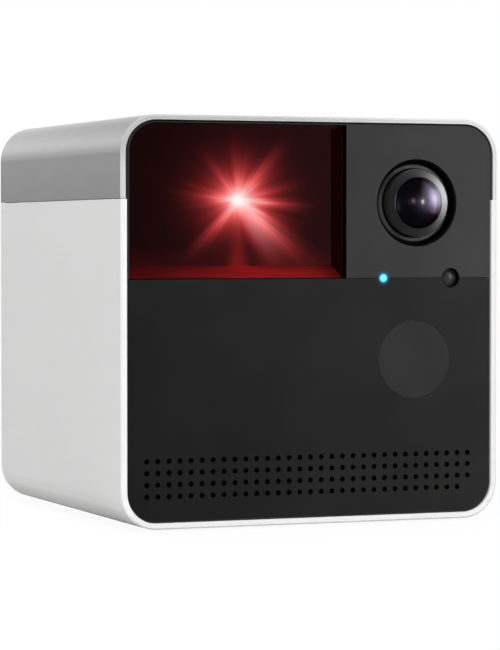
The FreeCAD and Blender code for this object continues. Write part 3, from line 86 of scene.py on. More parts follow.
# How the photograph looks at the laser: slopes of the line of sight, across and up per depth
sight = laser_tip - camera_place
sight_across = sight.x / sight.y
sight_up = sight.z / sight.y
sight_squeeze = math.cos(camera_yaw)


# Node helpers


def set_input(tree, socket, value):
    """Links a socket or sets a value. A colour is given without its alpha."""
    if isinstance(value, bpy.types.NodeSocket):
        tree.links.new(value, socket)
    elif socket.type == "RGBA":
        socket.default_value = (*value, 1.0)
    else:
        socket.default_value = value


def add(tree, kind, inputs=None, **settings):
    """A new shader node. Inputs are values or sockets, by the input's name or number."""
    node = tree.nodes.new("ShaderNode" + kind)
    for key, value in settings.items():
        setattr(node, key, value)
    for key, value in (inputs or {}).items():
        set_input(tree, node.inputs[key], value)
    return node


def maths(tree, operation, *values, clamp=False):
    inputs = dict(enumerate(values))
    return add(tree, "Math", inputs, operation=operation, use_clamp=clamp).outputs[0]


def product(tree, first, *others):
    for value in others:
        first = maths(tree, "MULTIPLY", first, value)
    return first


def distance(tree, value, middle):
    """How far a value lies from a middle, to either side."""
    return maths(tree, "ABSOLUTE", maths(tree, "SUBTRACT", value, middle))


def vectors(tree, operation, *values):
    inputs = dict(enumerate(values))
    node = add(tree, "VectorMath", inputs, operation=operation)
    return node.outputs["Value" if operation in ("LENGTH", "DOT_PRODUCT") else "Vector"]


def split(tree, vector):
    """The X, Y and Z of a vector."""
    return add(tree, "SeparateXYZ", {"Vector": vector}).outputs[:]


def fade(tree, value, start, end, low=0.0, high=1.0, smooth=True):
    """Value from low at start to high at end, held beyond them."""
    kind = "SMOOTHSTEP" if smooth else "LINEAR"
    inputs = {"Value": value, "From Min": start, "From Max": end, "To Min": low, "To Max": high}
    return add(tree, "MapRange", inputs, interpolation_type=kind).outputs["Result"]


def spread(tree, value, low=0.0, high=1.0, margin=0.3):
    """Noise stretched to the range from low to high. It seldom comes within the margin of 0 or 1."""
    return fade(tree, value, margin, 1.0 - margin, low, high)


def ramp(tree, value, stops):
    """A colour ramp from (place, colour) stops."""
    node = add(tree, "ValToRGB", {"Fac": value})
    elements = node.color_ramp.elements
    while len(elements) > 1:
        elements.remove(elements[-1])
    elements[0].position = stops[0][0]
    elements[0].color = (*stops[0][1], 1.0)
    for place, colour in stops[1:]:
        elements.new(place).color = (*colour, 1.0)
    return node.outputs["Color"]


def mixed(tree, factor, first, second, blend="MIX"):
    """Two colours mixed by a factor."""
    node = add(tree, "Mix", data_type="RGBA", blend_type=blend)
    sockets = {socket.identifier: socket for socket in node.inputs}
    for key, value in (("Factor_Float", factor), ("A_Color", first), ("B_Color", second)):
        set_input(tree, sockets[key], value)
    return next(socket for socket in node.outputs if socket.identifier == "Result_Color")


def object_point(tree):
    return add(tree, "TexCoord").outputs["Object"]


def distance_round(tree, centre):
    """Distance from the axis that runs to the front through a centre."""
    away = vectors(tree, "SUBTRACT", object_point(tree), centre)
    return vectors(tree, "LENGTH", vectors(tree, "MULTIPLY", away, (1.0, 0.0, 1.0)))


def facing_front(tree, start, end, smooth=True):
    """One on faces that look to the front, where the normal's Y goes from start to end."""
    normal = split(tree, add(tree, "NewGeometry").outputs["True Normal"])
    return fade(tree, normal[1], start, end, smooth=smooth)


def noise(tree, size, detail=2.0, roughness=0.5, stretch=(1.0, 1.0, 1.0)):
    """Noise with features of about the given size, drawn out along an axis by its stretch."""
    scale = [1.0 / factor for factor in stretch]
    vector = add(tree, "Mapping", {"Vector": object_point(tree), "Scale": scale}).outputs[0]
    inputs = {"Vector": vector, "Scale": 1.0 / size, "Detail": detail, "Roughness": roughness}
    return add(tree, "TexNoise", inputs).outputs["Fac"]


def smears(tree, size, low, high):
    """Roughness of glass from low, where it is clean, to high, where it was touched."""
    return fade(tree, noise(tree, size, detail=4.0, roughness=0.6), 0.4, 0.8, low, high)


def soft_spot(tree, point, middle, reach):
    """One in the middle of a patch and less outwards. Point, middle and reach are across and up."""
    squares = 0.0
    for value, centre, length in zip(point, middle, reach):
        share = maths(tree, "DIVIDE", maths(tree, "SUBTRACT", value, centre), length)
        squares = maths(tree, "ADD", squares, maths(tree, "MULTIPLY", share, share))
    return maths(tree, "EXPONENT", maths(tree, "MULTIPLY", squares, -1.0))


def bumped(tree, height, depth, strength=1.0, normal=None):
    """A normal that follows a height, where a height of 1 stands for the given depth."""
    inputs = {"Height": height, "Distance": depth, "Strength": strength}
    if normal is not None:
        inputs["Normal"] = normal
    return add(tree, "Bump", inputs).outputs["Normal"]


def blank_material(name):
    material = bpy.data.materials.new(name)
    material.use_nodes = True
    material.node_tree.nodes.clear()
    return material, material.node_tree


def principled(tree, inputs):
    return add(tree, "BsdfPrincipled", inputs).outputs[0]


def finish_output(tree, shader):
    add(tree, "OutputMaterial", {"Surface": shader})


def emission(tree, colour, strength=1.0):
    return add(tree, "Emission", {"Color": colour, "Strength": strength}).outputs[0]


# Plain finishes

roughness_drift = 0.05
coat_roughness = 0.15


def tints(colour, amount):
    """The colour a little darker and a little lighter."""
    dark = [channel * (1 - amount) for channel in colour]
    light = [min(1.0, channel * (1 + amount)) for channel in colour]
    return dark, light


def surface(
    name,
    colour,
    roughness,
    grain=0.25 * MM,
    grain_depth=0.006 * MM,
    mottle=0.06,
    mottle_size=9 * MM,
    stretch=(1.0, 1.0, 1.0),
    metallic=0.0,
    specular=0.5,
    coat=0.0,
    subsurface=0.0,
):
    """A solid surface whose colour and roughness drift a little, with a fine moulded or drawn grain."""
    material, tree = blank_material(name)
    dark, light = tints(colour, mottle)
    cloud = noise(tree, mottle_size, detail=3.0, stretch=stretch)
    fine = noise(tree, grain, detail=2.0, roughness=0.6, stretch=stretch)
    rough_range = (roughness - roughness_drift, roughness + roughness_drift)
    inputs = {
        "Base Color": mixed(tree, spread(tree, cloud), dark, light),
        "Roughness": spread(tree, fine, *rough_range, margin=0.25),
        "Metallic": metallic,
        "Specular IOR Level": specular,
        "Coat Weight": coat,
        "Coat Roughness": coat_roughness,
        "Subsurface Weight": subsurface,
        "Normal": bumped(tree, fine, grain_depth),
    }
    finish_output(tree, principled(tree, inputs))
    return material


# The upper sleeve's metal

metal_dark = (0.245, 0.245, 0.247)
metal_light = (0.255, 0.255, 0.258)
metal_speck = (0.232, 0.232, 0.234)
# painted shade: heights and levels of the metal's darkening towards its lower edge
metal_painted_shade_heights = (49 * MM, 71 * MM)
metal_painted_shade_levels = (0.68, 0.98)
# pale cut front edge, with painted light where it is brightest at the right and down the sides
metal_edge = (0.57, 0.57, 0.57)
metal_edge_painted_light = (0.75, 0.75, 0.75)
metal_edge_painted_light_across = (-10 * MM, 38 * MM)
metal_edge_painted_light_down = (77 * MM, 70 * MM)


def cut_edge_colour(tree, x, z):
    """The front edge's pale cut, with painted light that makes it brightest at the right and down the
    sides.
    """
    right = fade(tree, x, *metal_edge_painted_light_across)
    down = fade(tree, z, *metal_edge_painted_light_down)
    return mixed(tree, maths(tree, "MAXIMUM", right, down), metal_edge, metal_edge_painted_light)


def sleeve_metal():
    """Satin aluminium with a very fine blasted grain, with painted shade that makes it darker towards
    its lower edge.
    """
    material, tree = blank_material("satin_silver")
    x, _, z = split(tree, object_point(tree))
    cloud = noise(tree, 14 * MM, detail=2.0)
    speck = noise(tree, 0.55 * MM, detail=2.0)
    grain = noise(tree, 0.16 * MM, detail=3.0, roughness=0.7)
    base = mixed(tree, spread(tree, cloud), metal_dark, metal_light)
    base = mixed(tree, spread(tree, speck, 0.0, 0.2, margin=0.35), base, metal_speck)
    # painted shade, darker towards the lower edge
    rise = fade(tree, z, *metal_painted_shade_heights, *metal_painted_shade_levels, smooth=False)
    base = mixed(tree, rise, BLACK, base)
    cut = facing_front(tree, -0.3, -0.6)
    inputs = {
        "Base Color": mixed(tree, cut, base, cut_edge_colour(tree, x, z)),
        "Metallic": fade(tree, cut, 0.0, 1.0, 0.35, 0.1),
        "Specular Tint": (0.5, 0.5, 0.5),
        "Roughness": spread(tree, grain, 0.34, 0.44, margin=0.25),
        "Normal": bumped(tree, grain, 0.005 * MM, fade(tree, cut, 0.0, 1.0, 1.0, 0.03)),
    }
    finish_output(tree, principled(tree, inputs))
    return material


# The lower sleeve's plastic

# painted light and shade on its front edge, as lightness against how far a face looks to the front
WHITE_EDGE_PAINTED_SHADING = ((0.30, 0.95), (0.50, 0.95), (0.68, 0.80), (0.88, 0.80), (0.95, 0.865))
# painted light and shade on its rounded corners, as lightness against how far a face looks down
WHITE_UNDER_PAINTED_SHADING = (
    (0.0, 0.837),
    (0.20, 0.92),
    (0.43, 0.96),
    (0.55, 0.86),
    (0.65, 0.79),
    (0.79, 0.76),
    (0.87, 0.68),
    (0.91, 0.50),
)
white_blue_share = 0.994
# width and strength of the painted light down the front edge's left side
white_left_band = 1.5 * MM
white_left_painted_light = 0.6


def shell_colour(tree):
    """White that drifts a little, with painted light and shade on the rounded corners under it."""
    normal = split(tree, add(tree, "NewGeometry").outputs["Normal"])
    down = fade(tree, normal[2], 0.0, -1.0, smooth=False)
    stops = [(place, (level, level, white_blue_share * level)) for place, level in WHITE_UNDER_PAINTED_SHADING]
    cloud = noise(tree, 25 * MM, detail=2.0)
    return mixed(tree, spread(tree, cloud, 0.985, 1.0), BLACK, ramp(tree, down, stops))


def white_edge_colour(tree):
    """The bevel's painted light and shade, with painted light down the left side."""
    stops = [(place, (level, level, level)) for place, level in WHITE_EDGE_PAINTED_SHADING]
    edge = ramp(tree, facing_front(tree, 0.0, -1.0, smooth=False), stops)
    x, _, _ = split(tree, object_point(tree))
    left = fade(tree, x, panel_low.x + white_left_band, panel_low.x, 0.0, white_left_painted_light)
    return mixed(tree, left, edge, WHITE)


def sleeve_plastic():
    """Fine matt white plastic with a soft bevel round its front edge, and painted light and shade on
    its bevel and corners.
    """
    material, tree = blank_material("white_shell")
    grain = noise(tree, 0.2 * MM, detail=3.0, roughness=0.65)
    front = facing_front(tree, -0.1, -0.3)
    inputs = {
        "Base Color": mixed(tree, front, shell_colour(tree), white_edge_colour(tree)),
        "Roughness": spread(tree, grain, 0.48, 0.58, margin=0.25),
        "Specular IOR Level": 0.22,
        "Normal": bumped(tree, grain, 0.004 * MM),
    }
    finish_output(tree, principled(tree, inputs))
    return material


# Front panels and the lens's rings

# painted shade in the holes and on the edges, and painted light paler to the top and the right
panel_hole_painted_shade = (0.0016, 0.0016, 0.0016)
panel_painted_light_heights = (4 * MM, 50 * MM)
panel_left_painted_shade = 0.58


def panel_plastic(name, top_colour, low_colour, specular):
    """Satin near-black plastic with painted light that makes it paler to the top and the right, painted
    shade that makes its holes black, and glossy bevels.
    """
    material, tree = blank_material(name)
    x, _, z = split(tree, object_point(tree))
    rise = fade(tree, z, *panel_painted_light_heights, smooth=False)
    base = mixed(tree, rise, low_colour, top_colour)
    right = fade(tree, x, panel_low.x, panel_high.x, panel_left_painted_shade, 1.0, smooth=False)
    base = mixed(tree, right, BLACK, base)
    cloud = noise(tree, 12 * MM, detail=3.0)
    base = mixed(tree, spread(tree, cloud, 0.86, 1.0), BLACK, base)
    front = facing_front(tree, -0.75, -0.9)
    bevel = maths(tree, "SUBTRACT", facing_front(tree, -0.4, -0.55), front)
    grain = noise(tree, 0.22 * MM, detail=3.0, roughness=0.7)
    rough = spread(tree, grain, 0.42, 0.54, margin=0.25)
    inputs = {
        "Base Color": mixed(tree, front, panel_hole_painted_shade, base),
        "Roughness": product(tree, rough, fade(tree, bevel, 0.0, 1.0, 1.0, 0.5)),
        "Specular IOR Level": fade(tree, bevel, 0.0, 1.0, specular, 0.7),
        "Normal": bumped(tree, grain, 0.004 * MM),
    }
    finish_output(tree, principled(tree, inputs))
    return material


# painted shade: the hood behind its front ring
hood_painted_shade = (0.0015, 0.0015, 0.0015)
hood_ring_grey = (0.13, 0.13, 0.133)


def hood_plastic():
    """A satin grey ring at the front, on a base painted black for the shade behind it."""
    material, tree = blank_material("hood_grey")
    _, depth, _ = split(tree, object_point(tree))
    ring = fade(tree, depth, hood_low.y + 0.3 * MM, hood_low.y + 0.2 * MM)
    grain = noise(tree, 0.15 * MM, detail=2.0)
    inputs = {
        "Base Color": mixed(tree, ring, hood_painted_shade, hood_ring_grey),
        "Roughness": spread(tree, grain, 0.33, 0.43, margin=0.25),
        "Metallic": fade(tree, ring, 0.0, 1.0, 0.0, 0.5),
        "Specular IOR Level": fade(tree, ring, 0.0, 1.0, 0.05, 0.6),
        "Normal": bumped(tree, grain, 0.004 * MM),
    }
    finish_output(tree, principled(tree, inputs))
    return material


ring_dark = (0.27, 0.27, 0.272)
ring_light = (0.32, 0.32, 0.322)
ring_flatten = 0.10


def ring_metal():
    """Dark turned metal. Its shading is that of a flatter cone, brightest on the lit side."""
    material, tree = blank_material("ring_metal")
    rise = maths(tree, "MULTIPLY", distance_round(tree, lens_centre), ring_flatten)
    cone = bumped(tree, rise, 1.0)
    grain = noise(tree, 0.12 * MM, detail=2.0)
    inputs = {
        "Base Color": mixed(tree, spread(tree, grain), ring_dark, ring_light),
        "Metallic": 1.0,
        "Roughness": spread(tree, grain, 0.30, 0.38, margin=0.25),
        "Normal": bumped(tree, grain, 0.002 * MM, normal=cone),
    }
    finish_output(tree, principled(tree, inputs))
    return material


# Glass

window_tint = (0.97, 0.94, 0.94)
window_film_share = 0.04
window_film_colour = (0.002, 0.001, 0.001)
window_edge_paint = (0.001, 0.001, 0.001)


def window_glass():
    """The clear window with a trace of shine, and black paint on its edges."""
    material, tree = blank_material("smoked_window")
    clear = add(tree, "BsdfTransparent", {"Color": window_tint}).outputs[0]
    shine = {
        "Base Color": window_film_colour,
        "Roughness": smears(tree, 5 * MM, 0.02, 0.06),
        "Specular IOR Level": 0.5,
    }
    layers = {"Fac": window_film_share, 1: clear, 2: principled(tree, shine)}
    pane = add(tree, "MixShader", layers).outputs[0]
    paint = {"Base Color": window_edge_paint, "Roughness": 0.6, "Specular IOR Level": 0.05}
    normal = split(tree, add(tree, "NewGeometry").outputs["True Normal"])
    face = fade(tree, maths(tree, "ABSOLUTE", normal[1]), 0.5, 0.7)
    both = {"Fac": face, 1: principled(tree, paint), 2: pane}
    finish_output(tree, add(tree, "MixShader", both).outputs[0])
    return material


# across, up and radius in mm, stretch upwards and colour of each painted reflection inside the camera's
# lens
PAINTED_LENS_SPOTS = (
    (0.62, 0.24, 0.27, 1.4, (0.62, 0.55, 0.50)),
    (0.62, 0.24, 0.60, 1.3, (0.075, 0.060, 0.070)),
    (-1.45, 0.36, 0.34, 1.2, (0.155, 0.075, 0.105)),
    (-1.30, 0.36, 0.60, 1.0, (0.022, 0.007, 0.016)),
    (0.85, 0.0, 1.45, 1.15, (0.027, 0.031, 0.045)),
    (3.0, -1.9, 1.0, 0.8, (0.020, 0.006, 0.009)),
)


def painted_lens_reflections(tree):
    """Faint painted reflections inside the camera's lens, at places across and above its middle."""
    x, y, z = split(tree, vectors(tree, "SUBTRACT", object_point(tree), lens_centre))
    face = fade(tree, y, 0.0, -0.2 * MM)
    total = BLACK
    for across, up, radius, stretch, colour in PAINTED_LENS_SPOTS:
        middle = (across * MM, up * MM)
        spot = soft_spot(tree, (x, z), middle, (radius * MM, radius * stretch * MM))
        total = mixed(tree, product(tree, spot, face), total, colour, blend="ADD")
    return total


def glass(name, tint, shine, roughness=0.02, ior=1.5, glow=None):
    """Clear glass with a coloured coating and the faint smears of handling."""
    material, tree = blank_material(name)
    inputs = {
        "Base Color": tint,
        "Transmission Weight": 1.0,
        "Roughness": smears(tree, 3 * MM, roughness, roughness + 0.03),
        "IOR": ior,
        "Specular IOR Level": 0.5,
        "Specular Tint": shine,
    }
    # a glow, such as painted reflections, shows in the glass
    if glow is not None:
        inputs["Emission Color"] = glow(tree)
        inputs["Emission Strength"] = 1.0
    finish_output(tree, principled(tree, inputs))
    return material


# Circuit board and speaker cloth

mask_dark = (0.012, 0.07, 0.035)
mask_light = (0.02, 0.10, 0.05)
track_green = (0.05, 0.20, 0.10)


def circuit_board():
    """Green solder mask over a grid of copper tracks."""
    material, tree = blank_material("board_green")
    flat = {"Vector": object_point(tree), "Scale": (1.0, 0.0, 1.0)}
    grid = {
        "Vector": add(tree, "Mapping", flat).outputs[0],
        "Scale": 1 / (14 * MM),
        "Mortar Size": 0.012,
        "Brick Width": 0.3,
        "Row Height": 0.11,
    }
    tracks = add(tree, "TexBrick", grid).outputs["Fac"]
    cloud = noise(tree, 4 * MM, detail=3.0)
    mask = mixed(tree, spread(tree, cloud, margin=0.35), mask_dark, mask_light)
    inputs = {
        "Base Color": mixed(tree, tracks, mask, track_green),
        "Roughness": spread(tree, cloud, 0.28, 0.4),
        "Normal": bumped(tree, tracks, 0.03 * MM),
    }
    finish_output(tree, principled(tree, inputs))
    return material


cloth_dark = (0.002, 0.002, 0.002)
cloth_light = (0.008, 0.008, 0.008)


def acoustic_cloth():
    """Black woven mesh behind the speaker holes."""
    material, tree = blank_material("mesh_cloth")
    wave = {
        "Vector": object_point(tree),
        "Scale": 1 / (1.4 * MM),
        "Distortion": 0.4,
        "Detail": 1.0,
    }
    threads = [add(tree, "TexWave", wave, bands_direction=axis).outputs["Fac"] for axis in ("X", "Z")]
    weave = maths(tree, "MAXIMUM", *threads)
    inputs = {
        "Base Color": mixed(tree, weave, cloth_dark, cloth_light),
        "Roughness": fade(tree, weave, 0.0, 1.0, 0.95, 0.75),
        "Specular IOR Level": 0.2,
        "Normal": bumped(tree, weave, 0.05 * MM),
    }
    finish_output(tree, principled(tree, inputs))
    return material


# The laser's star: rays and halos about the laser's tip, in mm as the photograph shows them

# angle from the right in degrees, length, half width at the end and strength of each ray
# the star is painted light, drawn as glow on the chamber and on a cap over the laser's nose
LASER_RAYS = (
    (-6.0, 17.5, 2.6, 2.1),
    (-4.0, 19.0, 1.1, 1.3),
    (2.0, 16.5, 1.6, 0.6),
    (15.0, 16.5, 2.8, 1.1),
    (36.0, 15.0, 3.2, 0.75),
    (50.0, 19.0, 3.2, 1.35),
    (62.0, 14.0, 1.8, 0.4),
    (80.0, 14.5, 3.6, 0.7),
    (93.5, 17.0, 2.3, 0.6),
    (125.0, 16.0, 3.0, 0.6),
    (147.0, 12.0, 2.5, 0.25),
    (163.0, 16.0, 1.5, 0.7),
    (172.0, 16.5, 1.5, 1.1),
    (179.0, 16.0, 1.4, 0.9),
    (188.0, 14.0, 1.6, 0.8),
    (229.0, 19.5, 2.6, 1.35),
    (236.0, 17.0, 1.8, 0.7),
    (243.0, 14.0, 3.0, 0.45),
    (268.0, 15.0, 2.8, 0.3),
    (291.0, 11.0, 2.4, 0.4),
    (319.5, 26.0, 5.0, 1.3),
    (316.5, 24.0, 2.4, 0.9),
    (329.0, 18.0, 2.2, 1.0),
    (337.0, 18.0, 2.6, 1.0),
)
ray_root_width = 0.3
ray_root_fade = 0.35
ray_fall = 3.0
halo_strength = 3.3
halo_reach = 2.25
star_full = 3.0
# colour of the star against its brightness, up to star_full
STAR_COLOURS = (
    (0.0, BLACK),
    (0.015, (0.045, 0.003, 0.003)),
    (0.043, (0.125, 0.009, 0.010)),
    (0.107, (0.32, 0.025, 0.028)),
    (0.158, (0.475, 0.045, 0.050)),
    (0.233, (0.70, 0.090, 0.095)),
    (0.317, (0.95, 0.165, 0.165)),
    (0.430, (1.0, 0.33, 0.32)),
    (0.543, (1.0, 0.52, 0.50)),
    (0.683, (1.0, 0.82, 0.80)),
    (0.867, WHITE),
)
# angle, length, half width at the end and colour of the hazes below the lowest right ray
LASER_HAZES = (
    (-56.0, 24.0, 6.7, (1.33, 0.07, 0.08)),
    (-50.0, 17.0, 5.6, (0.10, 0.75, 0.80)),
)
# a red column of light from the tip down to the floor
column_top = -5.0
column_low = -14.0
column_narrow = 1.3
column_wide = 3.4
column_colour = (0.16, 0.0050, 0.0070)
# fine streaks that fan out from the tip
streak_scale = 7.0
streak_detail = 4.0
streak_roughness = 0.75
ray_streaks = (0.75, 1.25)
halo_streaks = (0.9, 1.1)


def sector(tree, point, angle, length, half_width):
    """Brightness of a ray that widens and fades away from the tip."""
    turn = (0.0, 0.0, math.radians(angle))
    placed = {"Vector": point, "Rotation": turn, "Scale": (length, half_width, 1.0)}
    x, y, _ = split(tree, add(tree, "Mapping", placed, vector_type="TEXTURE").outputs[0])
    width = fade(tree, x, 0.0, 1.0, ray_root_width, 1.0, smooth=False)
    aside = maths(tree, "DIVIDE", maths(tree, "ABSOLUTE", y), width)
    across = fade(tree, aside, 0.0, 1.0, 1.0, 0.0)
    along = maths(tree, "POWER", fade(tree, x, 0.0, 1.0, 1.0, 0.0, smooth=False), ray_fall)
    ahead = fade(tree, x, 0.0, ray_root_fade)
    return product(tree, along, across, ahead)


def photo_place(tree):
    """Places across and up from the laser's tip in mm, as the photograph's line of sight shows them."""
    away = vectors(tree, "SUBTRACT", object_point(tree), laser_tip)
    across = (sight_squeeze / MM, -sight_squeeze * sight_across / MM, 0.0)
    up = (0.0, -sight_up / MM, 1 / MM)
    return vectors(tree, "DOT_PRODUCT", away, across), vectors(tree, "DOT_PRODUCT", away, up)


def star_brightness(tree, point, across, up):
    """The rays and the halo, with their streaks."""
    rays = 0.0
    for angle, length, half_width, strength in LASER_RAYS:
        ray = sector(tree, point, angle, length, half_width)
        rays = maths(tree, "ADD", rays, product(tree, ray, strength))
    heading = maths(tree, "ARCTAN2", up, across)
    fan = {
        "W": heading,
        "Scale": streak_scale,
        "Detail": streak_detail,
        "Roughness": streak_roughness,
    }
    streaks = add(tree, "TexNoise", fan, noise_dimensions="1D").outputs["Fac"]
    rays = product(tree, rays, spread(tree, streaks, *ray_streaks, margin=0.25))
    decay = maths(tree, "DIVIDE", vectors(tree, "LENGTH", point), -halo_reach)
    halo = product(tree, maths(tree, "EXPONENT", decay), halo_strength)
    halo = product(tree, halo, spread(tree, streaks, *halo_streaks, margin=0.25))
    return maths(tree, "DIVIDE", maths(tree, "ADD", rays, halo), star_full, clamp=True)


def light_column(tree, across, up):
    width = fade(tree, up, column_top, column_low, column_narrow, column_wide, smooth=False)
    aside = maths(tree, "DIVIDE", maths(tree, "ABSOLUTE", across), width)
    return product(tree, fade(tree, aside, 0.0, 1.0, 1.0, 0.0), fade(tree, up, column_top, column_low))


def star_group():
    """A node group that gives the star's painted light at a point of any part near the laser."""
    tree = bpy.data.node_groups.new("laser_star", "ShaderNodeTree")
    tree.interface.new_socket("Color", in_out="OUTPUT", socket_type="NodeSocketColor")
    across, up = photo_place(tree)
    point = add(tree, "CombineXYZ", {"X": across, "Y": up}).outputs[0]
    colour = ramp(tree, star_brightness(tree, point, across, up), STAR_COLOURS)
    for angle, length, half_width, haze_colour in LASER_HAZES:
        haze = sector(tree, point, angle, length, half_width)
        colour = mixed(tree, haze, colour, haze_colour, blend="ADD")
    colour = mixed(tree, light_column(tree, across, up), colour, column_colour, blend="ADD")
    group_out = tree.nodes.new("NodeGroupOutput")
    tree.links.new(colour, group_out.inputs["Color"])
    return tree


laser_star = star_group()


def star_colour(tree):
    group = tree.nodes.new("ShaderNodeGroup")
    group.node_tree = laser_star
    return group.outputs["Color"]


nose_veil = (0.1, 0.05, 0.05)


def glow_light():
    """The star's painted light over the laser's nose, so bright that the nose behind it hardly shows.
    """
    material, tree = blank_material("laser_glow")
    veil = add(tree, "BsdfTransparent", {"Color": nose_veil}).outputs[0]
    light = emission(tree, star_colour(tree))
    finish_output(tree, add(tree, "AddShader", {0: veil, 1: light}).outputs[0])
    return material


# The laser's chamber. Its walls, floor and rim have the light that the laser throws on them, painted on
# as glow.

chamber_dark = (0.0015, 0.0008, 0.0008)
chamber_pale = (0.003, 0.0015, 0.0015)
back_wall_light_left = (0.0095, 0.0024, 0.0024)
back_wall_light_right = (0.019, 0.0052, 0.0054)
low_wall_light = (0.020, 0.0010, 0.0014)
side_wall_light = (0.0070, 0.0004, 0.0004)
floor_dim_light = (0.006, 0.0010, 0.0012)
floor_light = (0.255, 0.0100, 0.0130)
floor_light_middle = laser_tip.x + 5.9 * MM
floor_light_reach = 28 * MM
floor_side_level = 0.25
floor_back_level = 0.62
floor_right_level = 0.4
floor_streaks = (0.72, 1.25)
pool_light = (0.13, 0.001, 0.002)
pool_reach = 6 * MM
# where the column of light meets the floor
pool_middle = laser_tip.x + sight_across * (chamber_high.y - laser_tip.y)
# where each light begins and where it has its full strength
low_wall_z = (window_low.z + 7 * MM, window_low.z + 2 * MM)
floor_z = (window_low.z + 3 * MM, window_low.z + 2 * MM)
floor_y = (chamber_high.y - 1.5 * MM, window_high.y + 1.2 * MM)
floor_right_x = (window_high.x, window_high.x - 6 * MM)
pool_y = (window_high.y + 1 * MM, chamber_high.y - 1 * MM)
rim_y = (window_high.y + 0.02 * MM, window_high.y + 0.01 * MM)
rim_right_x = (window_high.x - 2 * MM, window_high.x - 1 * MM)
rim_foot_x = (window_high.x - 0.6 * MM, window_high.x - 0.7 * MM)
rim_foot_z = (window_low.z + 0.7 * MM, window_low.z + 0.5 * MM)


def floor_painted_red_light(tree, x, y):
    """The red light painted on the floor, less to the sides and the back, streaked, and with the
    column's pool.
    """
    aside = distance(tree, x, floor_light_middle)
    reach = fade(tree, aside, 0.0, floor_light_reach, 1.0, floor_side_level)
    depth = fade(tree, y, *floor_y, floor_back_level, 1.0)
    right = fade(tree, x, *floor_right_x, floor_right_level, 1.0)
    bands = noise(tree, 0.5 * MM, detail=3.0, stretch=(24.0, 1.0, 1.0))
    streaks = spread(tree, bands, *floor_streaks, margin=0.25)
    red = mixed(tree, product(tree, reach, depth, right, streaks), floor_dim_light, floor_light)
    pool = fade(tree, distance(tree, x, pool_middle), 0.0, pool_reach, 1.0, 0.0)
    pool = product(tree, pool, fade(tree, y, *pool_y))
    return mixed(tree, pool, red, pool_light, blend="ADD")


def window_rim(tree, normal, y):
    """One on the chamber's front rim, right behind the window."""
    return product(tree, fade(tree, y, *rim_y), fade(tree, normal[1], -0.7, -0.9))


def chamber_light(tree):
    """Painted light: the star and a dim wash of light on the back wall, dark sides, and the red light
    on the floor.
    """
    x, y, z = split(tree, object_point(tree))
    normal = split(tree, add(tree, "NewGeometry").outputs["Normal"])
    wash = mixed(tree, fade(tree, x, window_low.x, window_high.x), back_wall_light_left, back_wall_light_right)
    light = mixed(tree, 1.0, star_colour(tree), wash, blend="ADD")
    light = mixed(tree, fade(tree, z, *low_wall_z), light, low_wall_light, blend="ADD")
    rim = window_rim(tree, normal, y)
    side = fade(tree, maths(tree, "ABSOLUTE", normal[0]), 0.6, 0.9)
    right = product(tree, rim, fade(tree, x, *rim_right_x))
    light = mixed(tree, maths(tree, "MAXIMUM", side, right), light, side_wall_light)
    floor = product(tree, fade(tree, normal[2], 0.7, 0.9), fade(tree, z, *floor_z))
    foot = product(tree, rim, fade(tree, z, *rim_foot_z), fade(tree, x, *rim_foot_x))
    return mixed(tree, maths(tree, "MAXIMUM", floor, foot), light, floor_painted_red_light(tree, x, y))


def chamber_walls():
    """Dark moulded walls with the laser's light painted on as glow."""
    material, tree = blank_material("chamber_black")
    grain = noise(tree, 0.3 * MM, detail=2.0)
    inputs = {
        "Base Color": mixed(tree, grain, chamber_dark, chamber_pale),
        "Roughness": spread(tree, grain, 0.55, 0.7, margin=0.25),
        "Specular IOR Level": 0.0,
        "Normal": bumped(tree, grain, 0.01 * MM),
        "Emission Color": chamber_light(tree),
        "Emission Strength": 1.0,
    }
    finish_output(tree, principled(tree, inputs))
    return material


# Lit pieces

# where a lit piece's rim colour ends and its middle colour is full, as shares of its radius
lit_rim = 0.98
lit_core = 0.6


def lit(name, colour, edge_colour, strength, centre, radius):
    """A lit piece: brightest in the middle and deeper in colour towards its rim."""
    material, tree = blank_material(name)
    near = fade(tree, distance_round(tree, centre), lit_rim * radius, lit_core * radius)
    grain = noise(tree, 0.2 * MM)
    inputs = {
        "Base Color": edge_colour,
        "Roughness": spread(tree, grain, 0.2, 0.35),
        "Emission Color": mixed(tree, near, edge_colour, colour),
        "Emission Strength": product(tree, facing_front(tree, -0.4, -0.6), strength),
    }
    finish_output(tree, principled(tree, inputs))
    return material


halo_fall = 2.2


def halo_light(name, colour, centre, inner, outer):
    """A soft ring of painted light on a surface round a lit piece."""
    material, tree = blank_material(name)
    near = fade(tree, distance_round(tree, centre), outer, inner, smooth=False)
    glow = mixed(tree, maths(tree, "POWER", near, halo_fall), BLACK, colour)
    clear = add(tree, "BsdfTransparent").outputs[0]
    both = {0: clear, 1: emission(tree, glow)}
    finish_output(tree, add(tree, "AddShader", both).outputs[0])
    return material


# The finish of each material slot

